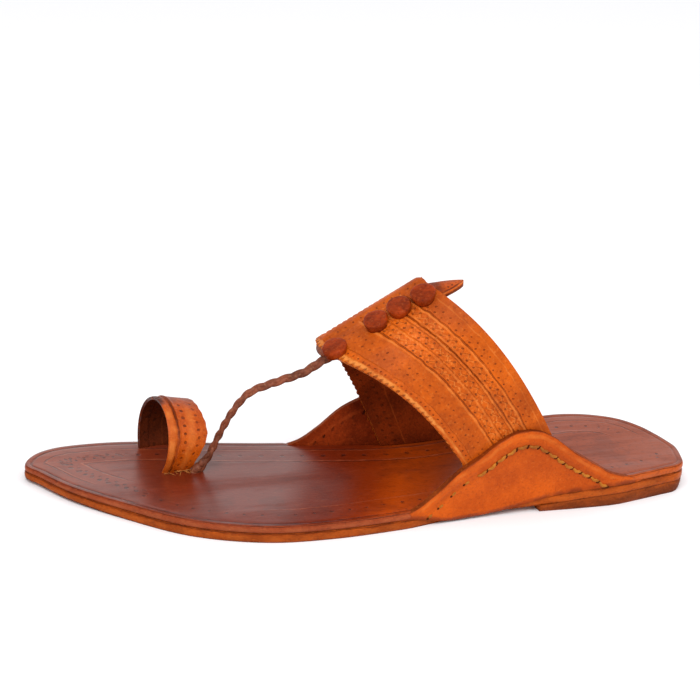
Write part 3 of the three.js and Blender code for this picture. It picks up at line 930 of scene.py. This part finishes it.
middle_turns, band_run = even_turns(0.5, BAND)


def band_shape(u, v):
    turn = middle_turns(u)
    shown = ease(math.sin(math.pi * turn), 0.42, 0.6)
    point = band_point(turn, 1 - v, BAND + band_relief(v) * shown)
    return point, (u * band_run, v * BAND_WIDE)


band_heart = Vector((120, 0, 20))
band = make_piece("instep_band", cut_sheet(BAND_COLUMNS, BAND_ROWS, band_shape, band_heart),
                  [tooled_leather, flesh_side, cut_edge], "upper")
give_thickness(band, BAND, 0.35)

# %% [markdown]
# The front edge carries a narrow lap with a pinked edge, cut with a toothed wheel. The lap is its
# own thin strip, and its columns are spaced evenly, so that every tooth is the same.

# %% Pinked lap of the front edge
TOOTH_REACH = 0.95
front_turns, front_run = even_turns(1, BAND)
TEETH = round(front_run / TOOTH)
ACROSS_MM = (CREST[1] - CREST[0]) * LENGTH
random.seed(3)
tooth_sizes = [random.uniform(0.7, 1.1) for _ in range(TEETH + 1)]


def lap_shape(u, v):
    size = tooth_sizes[min(int(u * TEETH), TEETH)]
    tooth = size * TOOTH_REACH * abs(math.sin(math.pi * u * TEETH)) ** 0.55
    across = 1 + mix(-LAP_WIDE, tooth - 0.4, v) / ACROSS_MM
    turn = front_turns(u)
    shown = ease(math.sin(math.pi * turn), 0.4, 0.55)
    point = band_point(turn, across, BAND + mix(0.1, 0.6, shown) - 0.3 * v * size)
    return point, (u * front_run, v * LAP_WIDE)


lap = make_piece("front_lap", cut_sheet(TEETH * 10, 4, lap_shape, band_heart),
                 [lap_leather, flesh_side, lap_leather])
give_thickness(lap, 0.8, 0.2)

# %% [markdown]
# ## The ears
# An ear is a smooth flap that stands outside the band. It is fixed between the layers of the sole
# and comes down over the edge of the outsole in the middle.

# %% Ears
EAR_COLUMNS = 150
EAR_ROWS = 30
ear_line = smooth_line([Vector((along, rise, 0)) for along, rise in EAR_PROFILE], 16)


def ear_edge(side, u):
    """Place along the sole and height of an ear's top edge."""
    profile = place_on(ear_line, u)
    x = mix(*EARS[side], profile.x) * LENGTH
    return x, outsole_top(x) + GLUE + profile.y * EAR_HEIGHT


def make_ear(side, name, node_name):
    edge = [ear_edge(side, step / EAR_COLUMNS) for step in range(EAR_COLUMNS + 1)]
    run = run_of([Vector((x, z, 0)) for x, z in edge])

    def shape(u, v):
        x, top = ear_edge(side, u)
        foot = mix(outsole_top(x) + 0.05, tread(x) + 0.9, ear_drop(side, x))
        z = mix(foot, top, v)
        rounded = 0.5 * (1 - ease(z - tread(x), 0.6, 2.2)) * ear_drop(side, x)
        held = wall_point(side, x, max(z, bed(x) + GLUE), BAND + 0.05 + EAR - rounded)
        held.z = z if z < bed(x) + GLUE else held.z
        above = z - foot
        at_foot = above < EAR_FOOT_RISE and v < 0.6
        mark = EAR_FOOT_MARK + EAR_FOOT_RISE - above if at_foot else (top - z) * 0.95
        return held, (run[round(u * EAR_COLUMNS)], mark)

    inside = Vector((mix(*EARS[side], 0.5) * LENGTH, 0, 20))
    ear = make_piece(name, cut_sheet(EAR_COLUMNS, EAR_ROWS, shape, inside),
                     [ear_leather, ear_lining, dyed_rim], node_name)
    give_thickness(ear, EAR, 0.7)


make_ear(1, "lateral_ear", "ear_lateral")
make_ear(-1, "medial_ear", "ear_medial")

# %% [markdown]
# A raw thong sews each ear to the band. Each stitch is two small rounded loops laid aslant against
# each other, with a dark patch of painted shade for the hole before the next. Towards the toe a few
# single loops lie further apart.

# %% Thong stitches
STITCH_PITCH = 4.9
STITCH_INSET = 6.2
STITCHED = (0.115, 0.685)
SINGLES = (0.72, 0.765, 0.81, 0.855)
# Part of the pitch, slant, half length, half width and half height in mm of a stitch's two loops
LOOPS = ((0.36, 0.34, 1.7, 0.7, 0.55), (0.66, -0.3, 1.5, 0.55, 0.45))
# Half length, half width and half height in mm
HOLE_SIZES = (1.05, 0.5, 0.25)
SINGLE_SIZES = (1.1, 0.6, 0.4)
SINGLE_HOLE_SIZES = (0.55, 0.5, 0.2)
# Segments around and rows of the balls
LOOP_MESH = (12, 8)
HOLE_MESH = (10, 6)


def seam_point(side, u, lift=0.0):
    """Point of the seam, which keeps its distance from the ear's top edge."""
    x, top = ear_edge(side, u)
    before, after = ear_edge(side, u - 0.01), ear_edge(side, u + 0.01)
    slope = (after[1] - before[1]) / (after[0] - before[0])
    down = STITCH_INSET * math.sqrt(1 + slope * slope)
    return wall_point(side, x, top - down, BAND + 0.05 + EAR + lift)


def laid_along(ahead, out, place, sizes):
    """Matrix that lays a unit ball along a seam with these half sizes in mm."""
    up = out.cross(ahead).normalized()
    turn = Matrix((ahead, up, out)).transposed().to_4x4()
    return Matrix.Translation(place) @ turn @ Matrix.Diagonal((*(s * MILLIMETRE for s in sizes), 1))


def add_ball(mesh, fineness, matrix):
    around, rows = fineness
    bmesh.ops.create_uvsphere(mesh, u_segments=around, v_segments=rows, radius=1, matrix=matrix)


def sew(side, name):
    steps = 400
    shares = [mix(*STITCHED, step / steps) for step in range(steps + 1)]
    run = run_of([seam_point(side, share) for share in shares])
    count = round(run[-1] / STITCH_PITCH)
    thread = bmesh.new()
    holes = bmesh.new()

    def share_at(stitch):
        return shares[min(bisect.bisect_left(run, stitch / count * run[-1]), steps)]

    for stitch in range(count):
        for part, slant, *sizes in LOOPS:
            at = [share_at(stitch + part + k) for k in (-0.3, 0, 0.3)]
            near, middle, far = (to_frame(seam_point(side, share, 0.1)) for share in at)
            out = (to_frame(seam_point(side, at[1], 1.0)) - middle).normalized()
            ahead = (far - near).normalized()
            ahead = (ahead + out.cross(ahead) * slant * side).normalized()
            out = (out - ahead * out.dot(ahead)).normalized()
            add_ball(thread, LOOP_MESH, laid_along(ahead, out, middle, sizes))
        place = to_frame(seam_point(side, share_at(stitch), 0.05))
        across = (ahead * 0.5 + out.cross(ahead) * side).normalized()
        add_ball(holes, HOLE_MESH, laid_along(across, out, place, HOLE_SIZES))
    for at in SINGLES:
        place = to_frame(seam_point(side, at, 0.05))
        ahead = (to_frame(seam_point(side, at + 0.01, 0.05)) - place).normalized()
        out = (to_frame(seam_point(side, at, 1.0)) - place).normalized()
        out = (out - ahead * out.dot(ahead)).normalized()
        add_ball(thread, LOOP_MESH, laid_along(ahead, out, place, SINGLE_SIZES))
        pit = place + ahead * 1.5 * MILLIMETRE
        add_ball(holes, HOLE_MESH, laid_along(ahead, out, pit, SINGLE_HOLE_SIZES))
    make_piece(name, thread, [thong_leather])
    make_piece(name + "_holes", holes, [thong_hole_shade])
    print(name, "has", count, "stitches")


sew(1, "lateral_stitches")
sew(-1, "medial_stitches")

# %% [markdown]
# ## The toe ring
# The ring is one arch of leather with a rolled front rim. Its two ends go down through slits in the
# insole.

# %% Toe ring
RING = {"along": 0.7806, "across": -0.33, "width": 34, "height": 27, "depth": 16.5, "yaw": 7.7}
RING_CENTRE_RISE = 10
RING_LEAN = 0.085
RING_CONE = 0.15
RING_NARROW = -0.03
RING_FOOT_DEPTH = 12
RING_GATHER = 0.7
# Width, fall and rounding of the rolled rim, and unevenness of the cut edges, in mm
RIM_WIDE = 4.0
RIM_FALL = 0.8
RIM_ROUND = 0.45
FRAY = 0.25
RING_WALL = 1.2
# Share of the strip at each end that goes down through the insole
LEG = 0.05
RING_STEPS = 120
ring_x = RING["along"] * LENGTH
ring_y = RING["across"] * BALL_WIDTH
ring_below = math.asin(RING_CENTRE_RISE / (RING["height"] - RING_CENTRE_RISE))


def ring_place(along, across, z):
    turn = math.radians(RING["yaw"])
    return Vector((
        ring_x + along * math.cos(turn) - across * math.sin(turn),
        ring_y + along * math.sin(turn) + across * math.cos(turn),
        z,
    ))


def arch(u, off, behind):
    """Distance across and height on the ring's arch, and how far up the arch it is."""
    angle = mix(-ring_below, math.pi + ring_below, clamp((u - LEG) / (1 - 2 * LEG)))
    rise = (math.sin(angle) + math.sin(ring_below)) / (1 + math.sin(ring_below))
    cone = 1 - RING_CONE * behind * rise
    across = math.cos(angle) * (RING["width"] / 2 + off) * (1 - RING_NARROW * behind * rise)
    foot = outsole_top(ring_x) + 0.4
    spring = bed(ring_x) + GLUE
    leg = min(u, 1 - u) / LEG
    high = (rise * (RING["height"] - GLUE) + off * max(math.sin(angle), 0)) * cone
    return across, mix(foot, spring, leg) if leg < 1 else spring + high, rise


ring_line = [Vector((*arch(step / RING_STEPS, 0, 0)[:2], 0)) for step in range(RING_STEPS + 1)]
ring_run = run_of(ring_line)


def ring_shape(u, v):
    depth = v * RING["depth"]
    rim_fall = RIM_FALL * (1 - ease(depth, RIM_WIDE - 0.3, RIM_WIDE + 0.3))
    rim_round = RIM_ROUND * math.sin(math.pi * depth / RIM_WIDE) ** 0.7 if depth < RIM_WIDE else 0
    frayed = FRAY * math.sin(u * 61) * math.sin(u * 37 + 1)
    strip_edge = FRAY * bump(depth, RIM_WIDE + 0.7, 0.5) * (1 + frayed)
    across, z, rise = arch(u, rim_round - rim_fall + strip_edge, v)
    gathered = RING_FOOT_DEPTH if u < 0.5 else RING["depth"]
    full = mix(gathered, RING["depth"], ease(rise, 0, RING_GATHER))
    lean = RING_LEAN * max(z - bed(ring_x) - GLUE, 0)
    point = ring_place(RING["depth"] / 2 - v * (full + frayed * ease(v, 0.7, 1)) - lean, across, z)
    return point, (ring_run[round(u * RING_STEPS)], depth)


# %% [markdown]
# The ring has two rows of punched dots behind its rolled rim. Its far side gets painted shade,
# and painted highlights over the rolled rim and between the rows show only on its near side.

# %% Leather of the ring
# Distance along the ring in mm from which its far side gets painted shade
RING_SHADE = 34


def ring_marks(tree, along, across, place):
    dark = larger(tree, punched_row(tree, along, across, 7.2, DOT_PITCH, 0.8),
                  punched_row(tree, along, across, 13.0, DOT_PITCH, 0.7, 0.5))
    seam = tool_line(tree, across, RIM_WIDE + 0.15, 0.7)
    # Painted highlights over the rolled rim and between the dot rows, kept to the near side
    light = larger(tree, tool_line(tree, across, 1.9, 3.0),
                   times(tree, tool_line(tree, across, 10.1, 3.2), 0.5))
    # Painted shade over the far side, strongest at the rolled rim
    far_side_shade = fade(tree, along, RING_SHADE, RING_SHADE + 7)
    far_side_shade = times(tree, far_side_shade, fade(tree, across, 2.6, 0.6, 0.75, 2.2))
    near_side_lit = fade(tree, along, RING_SHADE + 4, RING_SHADE - 4)
    return larger(tree, larger(tree, dark, seam), far_side_shade), times(tree, light, near_side_lit)


ring_leather = tan_leather("tooled_ring_leather", "C4560A", "A84206", "4E1A06", "E2843A",
                           0.8, 0.14, 0.36, ring_marks, specular=0.14)
# The inside of the ring is darker than the other flesh sides: painted shade
painted_shade_ring_lining = tan_leather("ring_lining_painted_shade", "5A2006", "401404", "1E0A02", "74300C",
                          0.6, 0.2, 0.7, flesh_marks, specular=0.06)
ring_sheet = cut_sheet(RING_STEPS, 52, ring_shape, Vector((ring_x, ring_y, 14)))
ring = make_piece("toe_ring_arch", ring_sheet, [ring_leather, painted_shade_ring_lining, ring_leather],
                  "toe_ring")
give_thickness(ring, RING_WALL, 0.3)

# %% [markdown]
# Where the ring goes through the slits of the insole, the knife has left loose fibres. They are
# thin cones that lie on the bed around each foot of the ring.

# %% Frayed fibres at the ring's feet
FIBRES = 26
FIBRE_ROOM = (-4.5, 8.0)
FIBRE_LENGTHS = (2.0, 5.0)
FIBRE_RADII = (0.16, 0.04)
FIBRE_SWING = 70
fibre_leather = tan_leather("loose_fibre", "D08A48", "B06A2C", "7A3E14", "E8B47C", 0.4, 0.05, 0.6)
random.seed(11)
fibres = bmesh.new()
for number in range(FIBRES):
    foot_side = 1 if number % 3 else -1
    along = random.uniform(*FIBRE_ROOM)
    reach = foot_side * (RING["width"] / 2 * math.cos(ring_below) + random.uniform(-0.3, 0.5))
    start = to_frame(ring_place(along, reach, bed(ring_x) + 0.2))
    swing = math.radians(random.uniform(-FIBRE_SWING, FIBRE_SWING))
    swing += 0 if foot_side > 0 else math.pi
    lie = Vector((math.sin(swing), math.cos(swing), random.uniform(0.02, 0.3))).normalized()
    length = random.uniform(*FIBRE_LENGTHS) * MILLIMETRE
    stand = lie.to_track_quat("Z", "Y").to_matrix().to_4x4()
    thick, thin = (radius * MILLIMETRE for radius in FIBRE_RADII)
    bmesh.ops.create_cone(fibres, cap_ends=True, segments=6, radius1=thick, radius2=thin,
                          depth=length, matrix=Matrix.Translation(start + lie * length / 2) @ stand)
make_piece("ring_fibres", fibres, [fibre_leather])

# %% [markdown]
# ## Strap, leaf and plait
# A strap runs under the crest of the band. Its rear end shows as a pointed leaf, and its front end
# is cut into three laces that are plaited down to the foot of the ring.

# %% Strap and leaf
STRAP_WIDTH = 13
# Length that the strap takes on the tooling map in mm
STRAP_RUN = 55
LEAF_LENGTH = 15.2
# Half width in mm and roundness of the medial and the lateral side, and share left at the tip
LEAF_SIDES = ((6.5, 0.9), (9.5, 0.5))
LEAF_TIP = 0.04
# Share of the crest over which the leaf narrows to the strap, and rise of the leaf for its length
LEAF_SHOULDER = 0.15
LEAF_LIFT = 0.1
# Share of the sheet's rows that make the leaf
LEAF_SHARE = 0.35
crest_heart = Vector((120, 0, 20))


def crest_point(y, along, distance):
    """Point over the crest. A place along below 0 is on the leaf behind the band."""
    side = -1 if y < 0 else 1
    behind = min(along, 0)
    x = mix(*CREST, max(along, 0)) * LENGTH
    foot = bed(x) + GLUE
    across = abs(y) / half_width(side, x)
    z = foot + (crest_height(x) - foot) * math.sqrt(1 - across * across)
    point = off_last(side, Vector((x, y, z)), distance)
    point.x += behind * LEAF_LENGTH
    point.z -= behind * LEAF_LENGTH * LEAF_LIFT
    return point


def leaf_marks(tree, along, across, place):
    vein = larger(tree, tool_line(tree, across, 1.6, 0.7),
                  punched_row(tree, along, across, 3.2, 2.4, 0.5))
    # Painted shade darkens the leaf towards its root, from 10 mm to 14 mm along, where it goes under
    # the band
    return larger(tree, vein, fade(tree, along, 10, 14, 0, 0.9)), tool_line(tree, across, 0.7, 0.7)


leaf_leather = tan_leather("tooled_leaf_leather", "B84C0A", "963A06", "521C06", "DC7C34",
                           0.7, 0.12, 0.45, leaf_marks, specular=0.1)


def strap_shape(u, v):
    along = v / LEAF_SHARE - 1 if v < LEAF_SHARE else (v - LEAF_SHARE) / (1 - LEAF_SHARE)
    leaf, power = LEAF_SIDES[1] if u > 0.5 else LEAF_SIDES[0]
    narrow = mix(LEAF_TIP, 1, (1 + along) ** power) if along < 0 else 1
    half = mix(leaf * narrow, STRAP_WIDTH / 2, ease(along, 0, LEAF_SHOULDER))
    place = crest_point((2 * u - 1) * half, along, -0.1)
    return place, (v * STRAP_RUN, (1 - abs(2 * u - 1)) * half)


strap = make_piece("crest_strap", cut_sheet(16, 60, strap_shape, crest_heart),
                   [leaf_leather, flesh_side, dyed_rim], "toe_strap")
give_thickness(strap, STRAP, 0.4)

# %% [markdown]
# The front end of the strap is folded over into a rounded root, where the plait begins.

# %% Folded root of the plait
ROOT_SIZES = (2.6, 4.8, 2.6)
root = bmesh.new()
root_at = to_frame(crest_point(0.5, 0.985, BAND - 2.2))
root_ahead = (to_frame(crest_point(0.5, 0.9, 0)) - to_frame(crest_point(0.5, 1.0, 0))).normalized()
root_out = root_ahead.cross(Vector((0, 1, 0))).normalized()
add_ball(root, (28, 16), laid_along(root_ahead, root_out, root_at, ROOT_SIZES))
make_piece("strap_root", root, [lace_leather])

# %% [markdown]
# The plait hangs from the root to the foot of the ring on a line taken from a few points. Each of
# its three strands swings from side to side once in a pitch and passes over and under the others,
# a third of a pitch apart.

# %% Plaited lace
BRAID_RADIUS = 1.5
BRAID_TAPER = 0.2
BRAID_PITCH = 17
# Swing to the sides, swing up and down and half thickness of a strand for the plait's radius
STRAND_SWING = 0.5
STRAND_CROSS = 0.26
STRAND_THICK = 0.66
STRAND_STEPS = 260
STRAND_SIDES = 10
# Shares of the way along and across from the root to the ring's foot, and share of its height
BRAID_ROUTE = (
    (0, 0, 1), (0.11, 0.08, 0.93), (0.2, 0.16, 0.865), (0.41, 0.34, 0.78), (0.602, 0.51, 0.695),
    (0.68, 0.62, 0.61), (0.766, 0.75, 0.46), (0.838, 0.89, 0.283), (0.88, 0.95, 0.177),
    (0.94, 0.985, 0.075), (1, 1, 0),
)
lace_end = ring_place(-RING["depth"] * 0.29,
                      RING["width"] / 2 * math.cos(ring_below) + GLUE + BRAID_RADIUS,
                      bed(ring_x) - INSOLE / 2)
lace_start = crest_point(3, 0.95, -GLUE - STRAP / 2 - BRAID_RADIUS)
lace_line = smooth_line([
    Vector((mix(lace_start.x, lace_end.x, along), mix(lace_start.y, lace_end.y, across),
            mix(lace_end.z, lace_start.z, height)))
    for along, across, height in BRAID_ROUTE
], 40)
lace_run = run_of(lace_line)
print("plait is", round(lace_run[-1]), "mm long")


def lace_strand(number):
    last = len(lace_line) - 1

    def shape(u, v):
        place = round(u * last)
        index = min(place, last - 1)
        middle = lace_line[index] if u < 1 else lace_line[-1]
        ahead = (lace_line[index + 1] - lace_line[index]).normalized()
        beside = ahead.cross(Vector((0, 0, 1))).normalized()
        above = beside.cross(ahead)
        run = lace_run[min(place, last)]
        phase = 2 * math.pi * (run / BRAID_PITCH + number / 3)
        full = BRAID_RADIUS * (1.12 - BRAID_TAPER * math.sin(math.pi * u ** 1.6))
        wide = (beside * 0.5 + above * 0.85).normalized()
        deep = wide.cross(ahead)
        middle = middle + wide * (STRAND_SWING * full * math.sin(phase))
        middle = middle + deep * (STRAND_CROSS * full * math.sin(2 * phase))
        angle = 2 * math.pi * v
        thick = STRAND_THICK * full * (1 if 0 < u < 1 else 0.2)
        point = middle + wide * (thick * math.cos(angle)) + deep * (thick * 0.85 * math.sin(angle))
        return point, (run, v * 6)

    lace = cut_sheet(STRAND_STEPS, STRAND_SIDES, shape, Vector((0, 0, 0)))
    bmesh.ops.holes_fill(lace, edges=[edge for edge in lace.edges if edge.is_boundary])
    bmesh.ops.recalc_face_normals(lace, faces=lace.faces)
    make_piece(f"plait_strand_{number + 1}", lace, [lace_leather])


for strand in range(3):
    lace_strand(strand)

# %% [markdown]
# At the foot of the ring the three laces are drawn into a small dark knot of three turns.

# %% Knot of the plait
# Share of the plait, size in mm and distance in front of the plait in mm of each turn
KNOT_TURNS = ((0.875, 2.0, 0.7), (0.92, 2.4, 1.3), (0.965, 2.3, 0.9))
knot = bmesh.new()
for share, size, beside in KNOT_TURNS:
    index = round(share * (len(lace_line) - 1))
    ahead = (lace_line[index + 1] - lace_line[index]).normalized()
    slant = (ahead + Vector((0.5, 0.4, 0))).normalized()
    out = Vector((0, 1, 0))
    out = (out - slant * out.dot(slant)).normalized()
    turn = laid_along(slant, out, to_frame(lace_line[index] + Vector((beside, 0, 0))),
                      (size * 1.25, size * 0.8, size * 0.8))
    add_ball(knot, (24, 14), turn)
make_piece("plait_knot", knot, [lace_leather])

# %% [markdown]
# A narrow lap covers the seam along the crest. Its far edge is pinked like the front edge and
# shows as small teeth against the light.

# %% Pinked lap of the crest
CREST_TEETH = 20
CREST_TOOTH = 1.2
CREST_LENGTH = 49
# Distances in mm from the crest to the lap's two edges, the far one without its teeth
CREST_EDGES = (1.5, -4.5)


def crest_lap_shape(u, v):
    tooth = CREST_TOOTH * abs(math.sin(math.pi * u * CREST_TEETH)) ** 0.7
    near, far = CREST_EDGES
    y = mix(near, far - tooth, v)
    ends = ease(u, 0, 0.05) * ease(u, 1, 0.95)
    raised = mix(0.02, 0.95, ease(v, 0, 0.6) * ends)
    return crest_point(y, mix(-0.02, 0.985, u), BAND + raised), (u * CREST_LENGTH, 9 + v * 6)


crest_sheet = cut_sheet(CREST_TEETH * 8, 8, crest_lap_shape, crest_heart)
crest_lap = make_piece("crest_lap", crest_sheet, [tooled_leather, flesh_side, cut_edge])
give_thickness(crest_lap, 0.9, 0.2)

# %% [markdown]
# ## Discs
# Four leather discs lie along the crest. Each is a round blank, domed in the middle, drawn in under
# its rim and let down to the band below.

# %% Discs
DISC_RADIUS = 4.9
DISC_THICK = 2.2
DISC_LEAN = 0.38
DISC_SEAT = 0.55
# Share of the crest and distance from it to the outer side in mm
DISC_PLACES = ((0.069, 7.75), (0.29, 7.1), (0.508, 7.3), (0.904, 8.55))
# Inset and drop in mm of each ring of the side, and inset and rise of each ring of the top
DISC_SIDE = ((-0.2, 0.3), (0.1, 0.5), (0.25, 0.6), (0.2, 0.9))
DISC_TOP = ((0.25, 0.2), (0.6, 0.12), (1.4, 0.1), (1.4, 0.05))
random.seed(7)


def disc_blank():
    blank = bmesh.new()
    bmesh.ops.create_circle(blank, cap_ends=True, cap_tris=False, segments=48, radius=DISC_RADIUS)
    bmesh.ops.translate(blank, verts=blank.verts, vec=(0, 0, DISC_THICK))
    top = blank.faces[:]
    rim = blank.edges[:]
    for inset, drop in DISC_SIDE:
        drawn = bmesh.ops.extrude_edge_only(blank, edges=rim)["geom"]
        rim = [part for part in drawn if isinstance(part, bmesh.types.BMEdge)]
        ring_verts = {vert for edge in rim for vert in edge.verts}
        for vert in ring_verts:
            reach = math.hypot(vert.co.x, vert.co.y)
            vert.co.x *= (reach - inset) / reach
            vert.co.y *= (reach - inset) / reach
            vert.co.z -= drop
    bmesh.ops.holes_fill(blank, edges=rim)
    for inset, rise in DISC_TOP:
        bmesh.ops.inset_region(blank, faces=top, thickness=inset, depth=0)
        for vert in {vert for face in top for vert in face.verts}:
            vert.co.z += rise
    bmesh.ops.recalc_face_normals(blank, faces=blank.faces)
    return blank


def make_disc(number, along, reach_out):
    blank = disc_blank()
    seat = crest_point(reach_out, along, BAND)
    out = (crest_point(reach_out, along, BAND + 1) - seat).normalized()
    out = (out + Vector((0, 0, DISC_LEAN))).normalized()
    beside = crest_point(reach_out + 1, along, BAND) - seat
    forward = crest_point(reach_out, along + 0.02, BAND) - seat
    ahead = (forward - out * forward.dot(out)).normalized()
    level = out.cross(ahead)
    wobble = [random.uniform(-0.025, 0.025) for _ in range(3)]
    stand = laid_along(ahead, out, to_frame(seat) + out * DISC_SEAT * MILLIMETRE, (1, 1, 1))
    for vert in blank.verts:
        angle = math.atan2(vert.co.y, vert.co.x)
        full = 1 + sum(w * math.sin((k + 2) * angle + number) for k, w in enumerate(wobble))
        # The underside is let down to the band, and the rings of the side share its drop
        reach = ahead * vert.co.x * full + level * vert.co.y * full
        ground = crest_point(reach_out + reach.dot(beside) / beside.length_squared,
                             along + 0.02 * reach.dot(forward) / forward.length_squared, BAND)
        gap = (seat + out * DISC_SEAT + reach - ground).dot(out)
        height = vert.co.z - clamp(1 - vert.co.z / DISC_THICK) * max(0, gap)
        vert.co = stand @ Vector((vert.co.x * full, vert.co.y * full, height))
    make_piece(f"crest_disc_{number}", blank, [disc_leather], f"disc_{number}")


for number, (share, beside) in enumerate(DISC_PLACES, 1):
    make_disc(number, share, beside)

# %% [markdown]
# ## Floor, light and camera
# The sandal stands on a pale floor in soft light from above. The camera looks at it from the outer
# side, a little in front and above, through a long lens.

# %% Floor
paper = bpy.data.materials.new("pale_paper")
paper.use_nodes = True
paper_skin = paper.node_tree.nodes["Principled BSDF"]
paper_skin.inputs["Base Color"].default_value = dye("F6F6F8")
paper_skin.inputs["Roughness"].default_value = 0.9
floor_sheet = bmesh.new()
bmesh.ops.create_grid(floor_sheet, x_segments=1, y_segments=1, size=6)
floor_mesh = bpy.data.meshes.new("floor")
floor_sheet.to_mesh(floor_mesh)
floor_sheet.free()
floor_mesh.materials.append(paper)
floor = bpy.data.objects.new("floor", floor_mesh)
bpy.context.scene.collection.objects.link(floor)
print("floor laid")

# %% [markdown]
# White surroundings give most of the light. Two large soft boxes over the outer side, a stronger
# one towards the toe and a weaker one towards the heel, shape the leather.

# %% Light
world = bpy.data.worlds.new("studio")
bpy.context.scene.world = world
world.use_nodes = True
world.node_tree.nodes["Background"].inputs[0].default_value = dye("FFFFFF")
world.node_tree.nodes["Background"].inputs[1].default_value = 0.85


def soft_box(name, place, size, power):
    light = bpy.data.lights.new(name, "AREA")
    light.size = size
    light.energy = power
    lamp = bpy.data.objects.new(name, light)
    lamp.location = place
    lamp.rotation_euler = (Vector((0, 0, 0.03)) - Vector(place)).to_track_quat("-Z", "Y").to_euler()
    bpy.context.scene.collection.objects.link(lamp)


soft_box("key", (0.5, 0.9, 1.2), 0.8, 13)
soft_box("fill", (-0.9, 0.6, 0.9), 1.0, 5)
print("lights:", ", ".join(light.name for light in bpy.data.lights))
bpy.context.scene.view_settings.view_transform = "Standard"

# %% [markdown]
# The lens is given by its length in pixels of the picture. The camera aims at a point on the floor,
# is rolled a little, and looks up by LOW pixels, so that the sandal lies below the middle.

# %% Camera
IMAGE = 700
LENS_PIXELS = 2857.14
camera_at = Vector((484.64, 993.96, 481.52))
axis_at = Vector((114.51, -78.34, 0))
LOW = 60
ROLL_DEGREES = 4
view = bpy.data.cameras.new("camera")
view.sensor_width = 36
view.lens = 36 * LENS_PIXELS / IMAGE
camera = bpy.data.objects.new("camera", view)
camera.location = to_frame(camera_at)
aim = to_frame(axis_at) - to_frame(camera_at)
facing = aim.to_track_quat("-Z", "Y").to_matrix()
roll = Matrix.Rotation(math.radians(ROLL_DEGREES), 3, "Z")
raise_view = Matrix.Rotation(math.atan(LOW / LENS_PIXELS), 3, "X")
camera.rotation_euler = (facing @ roll @ raise_view).to_euler()
bpy.context.scene.collection.objects.link(camera)
bpy.context.scene.camera = camera
print("camera is", round(aim.length, 2), "m from the point it aims at")
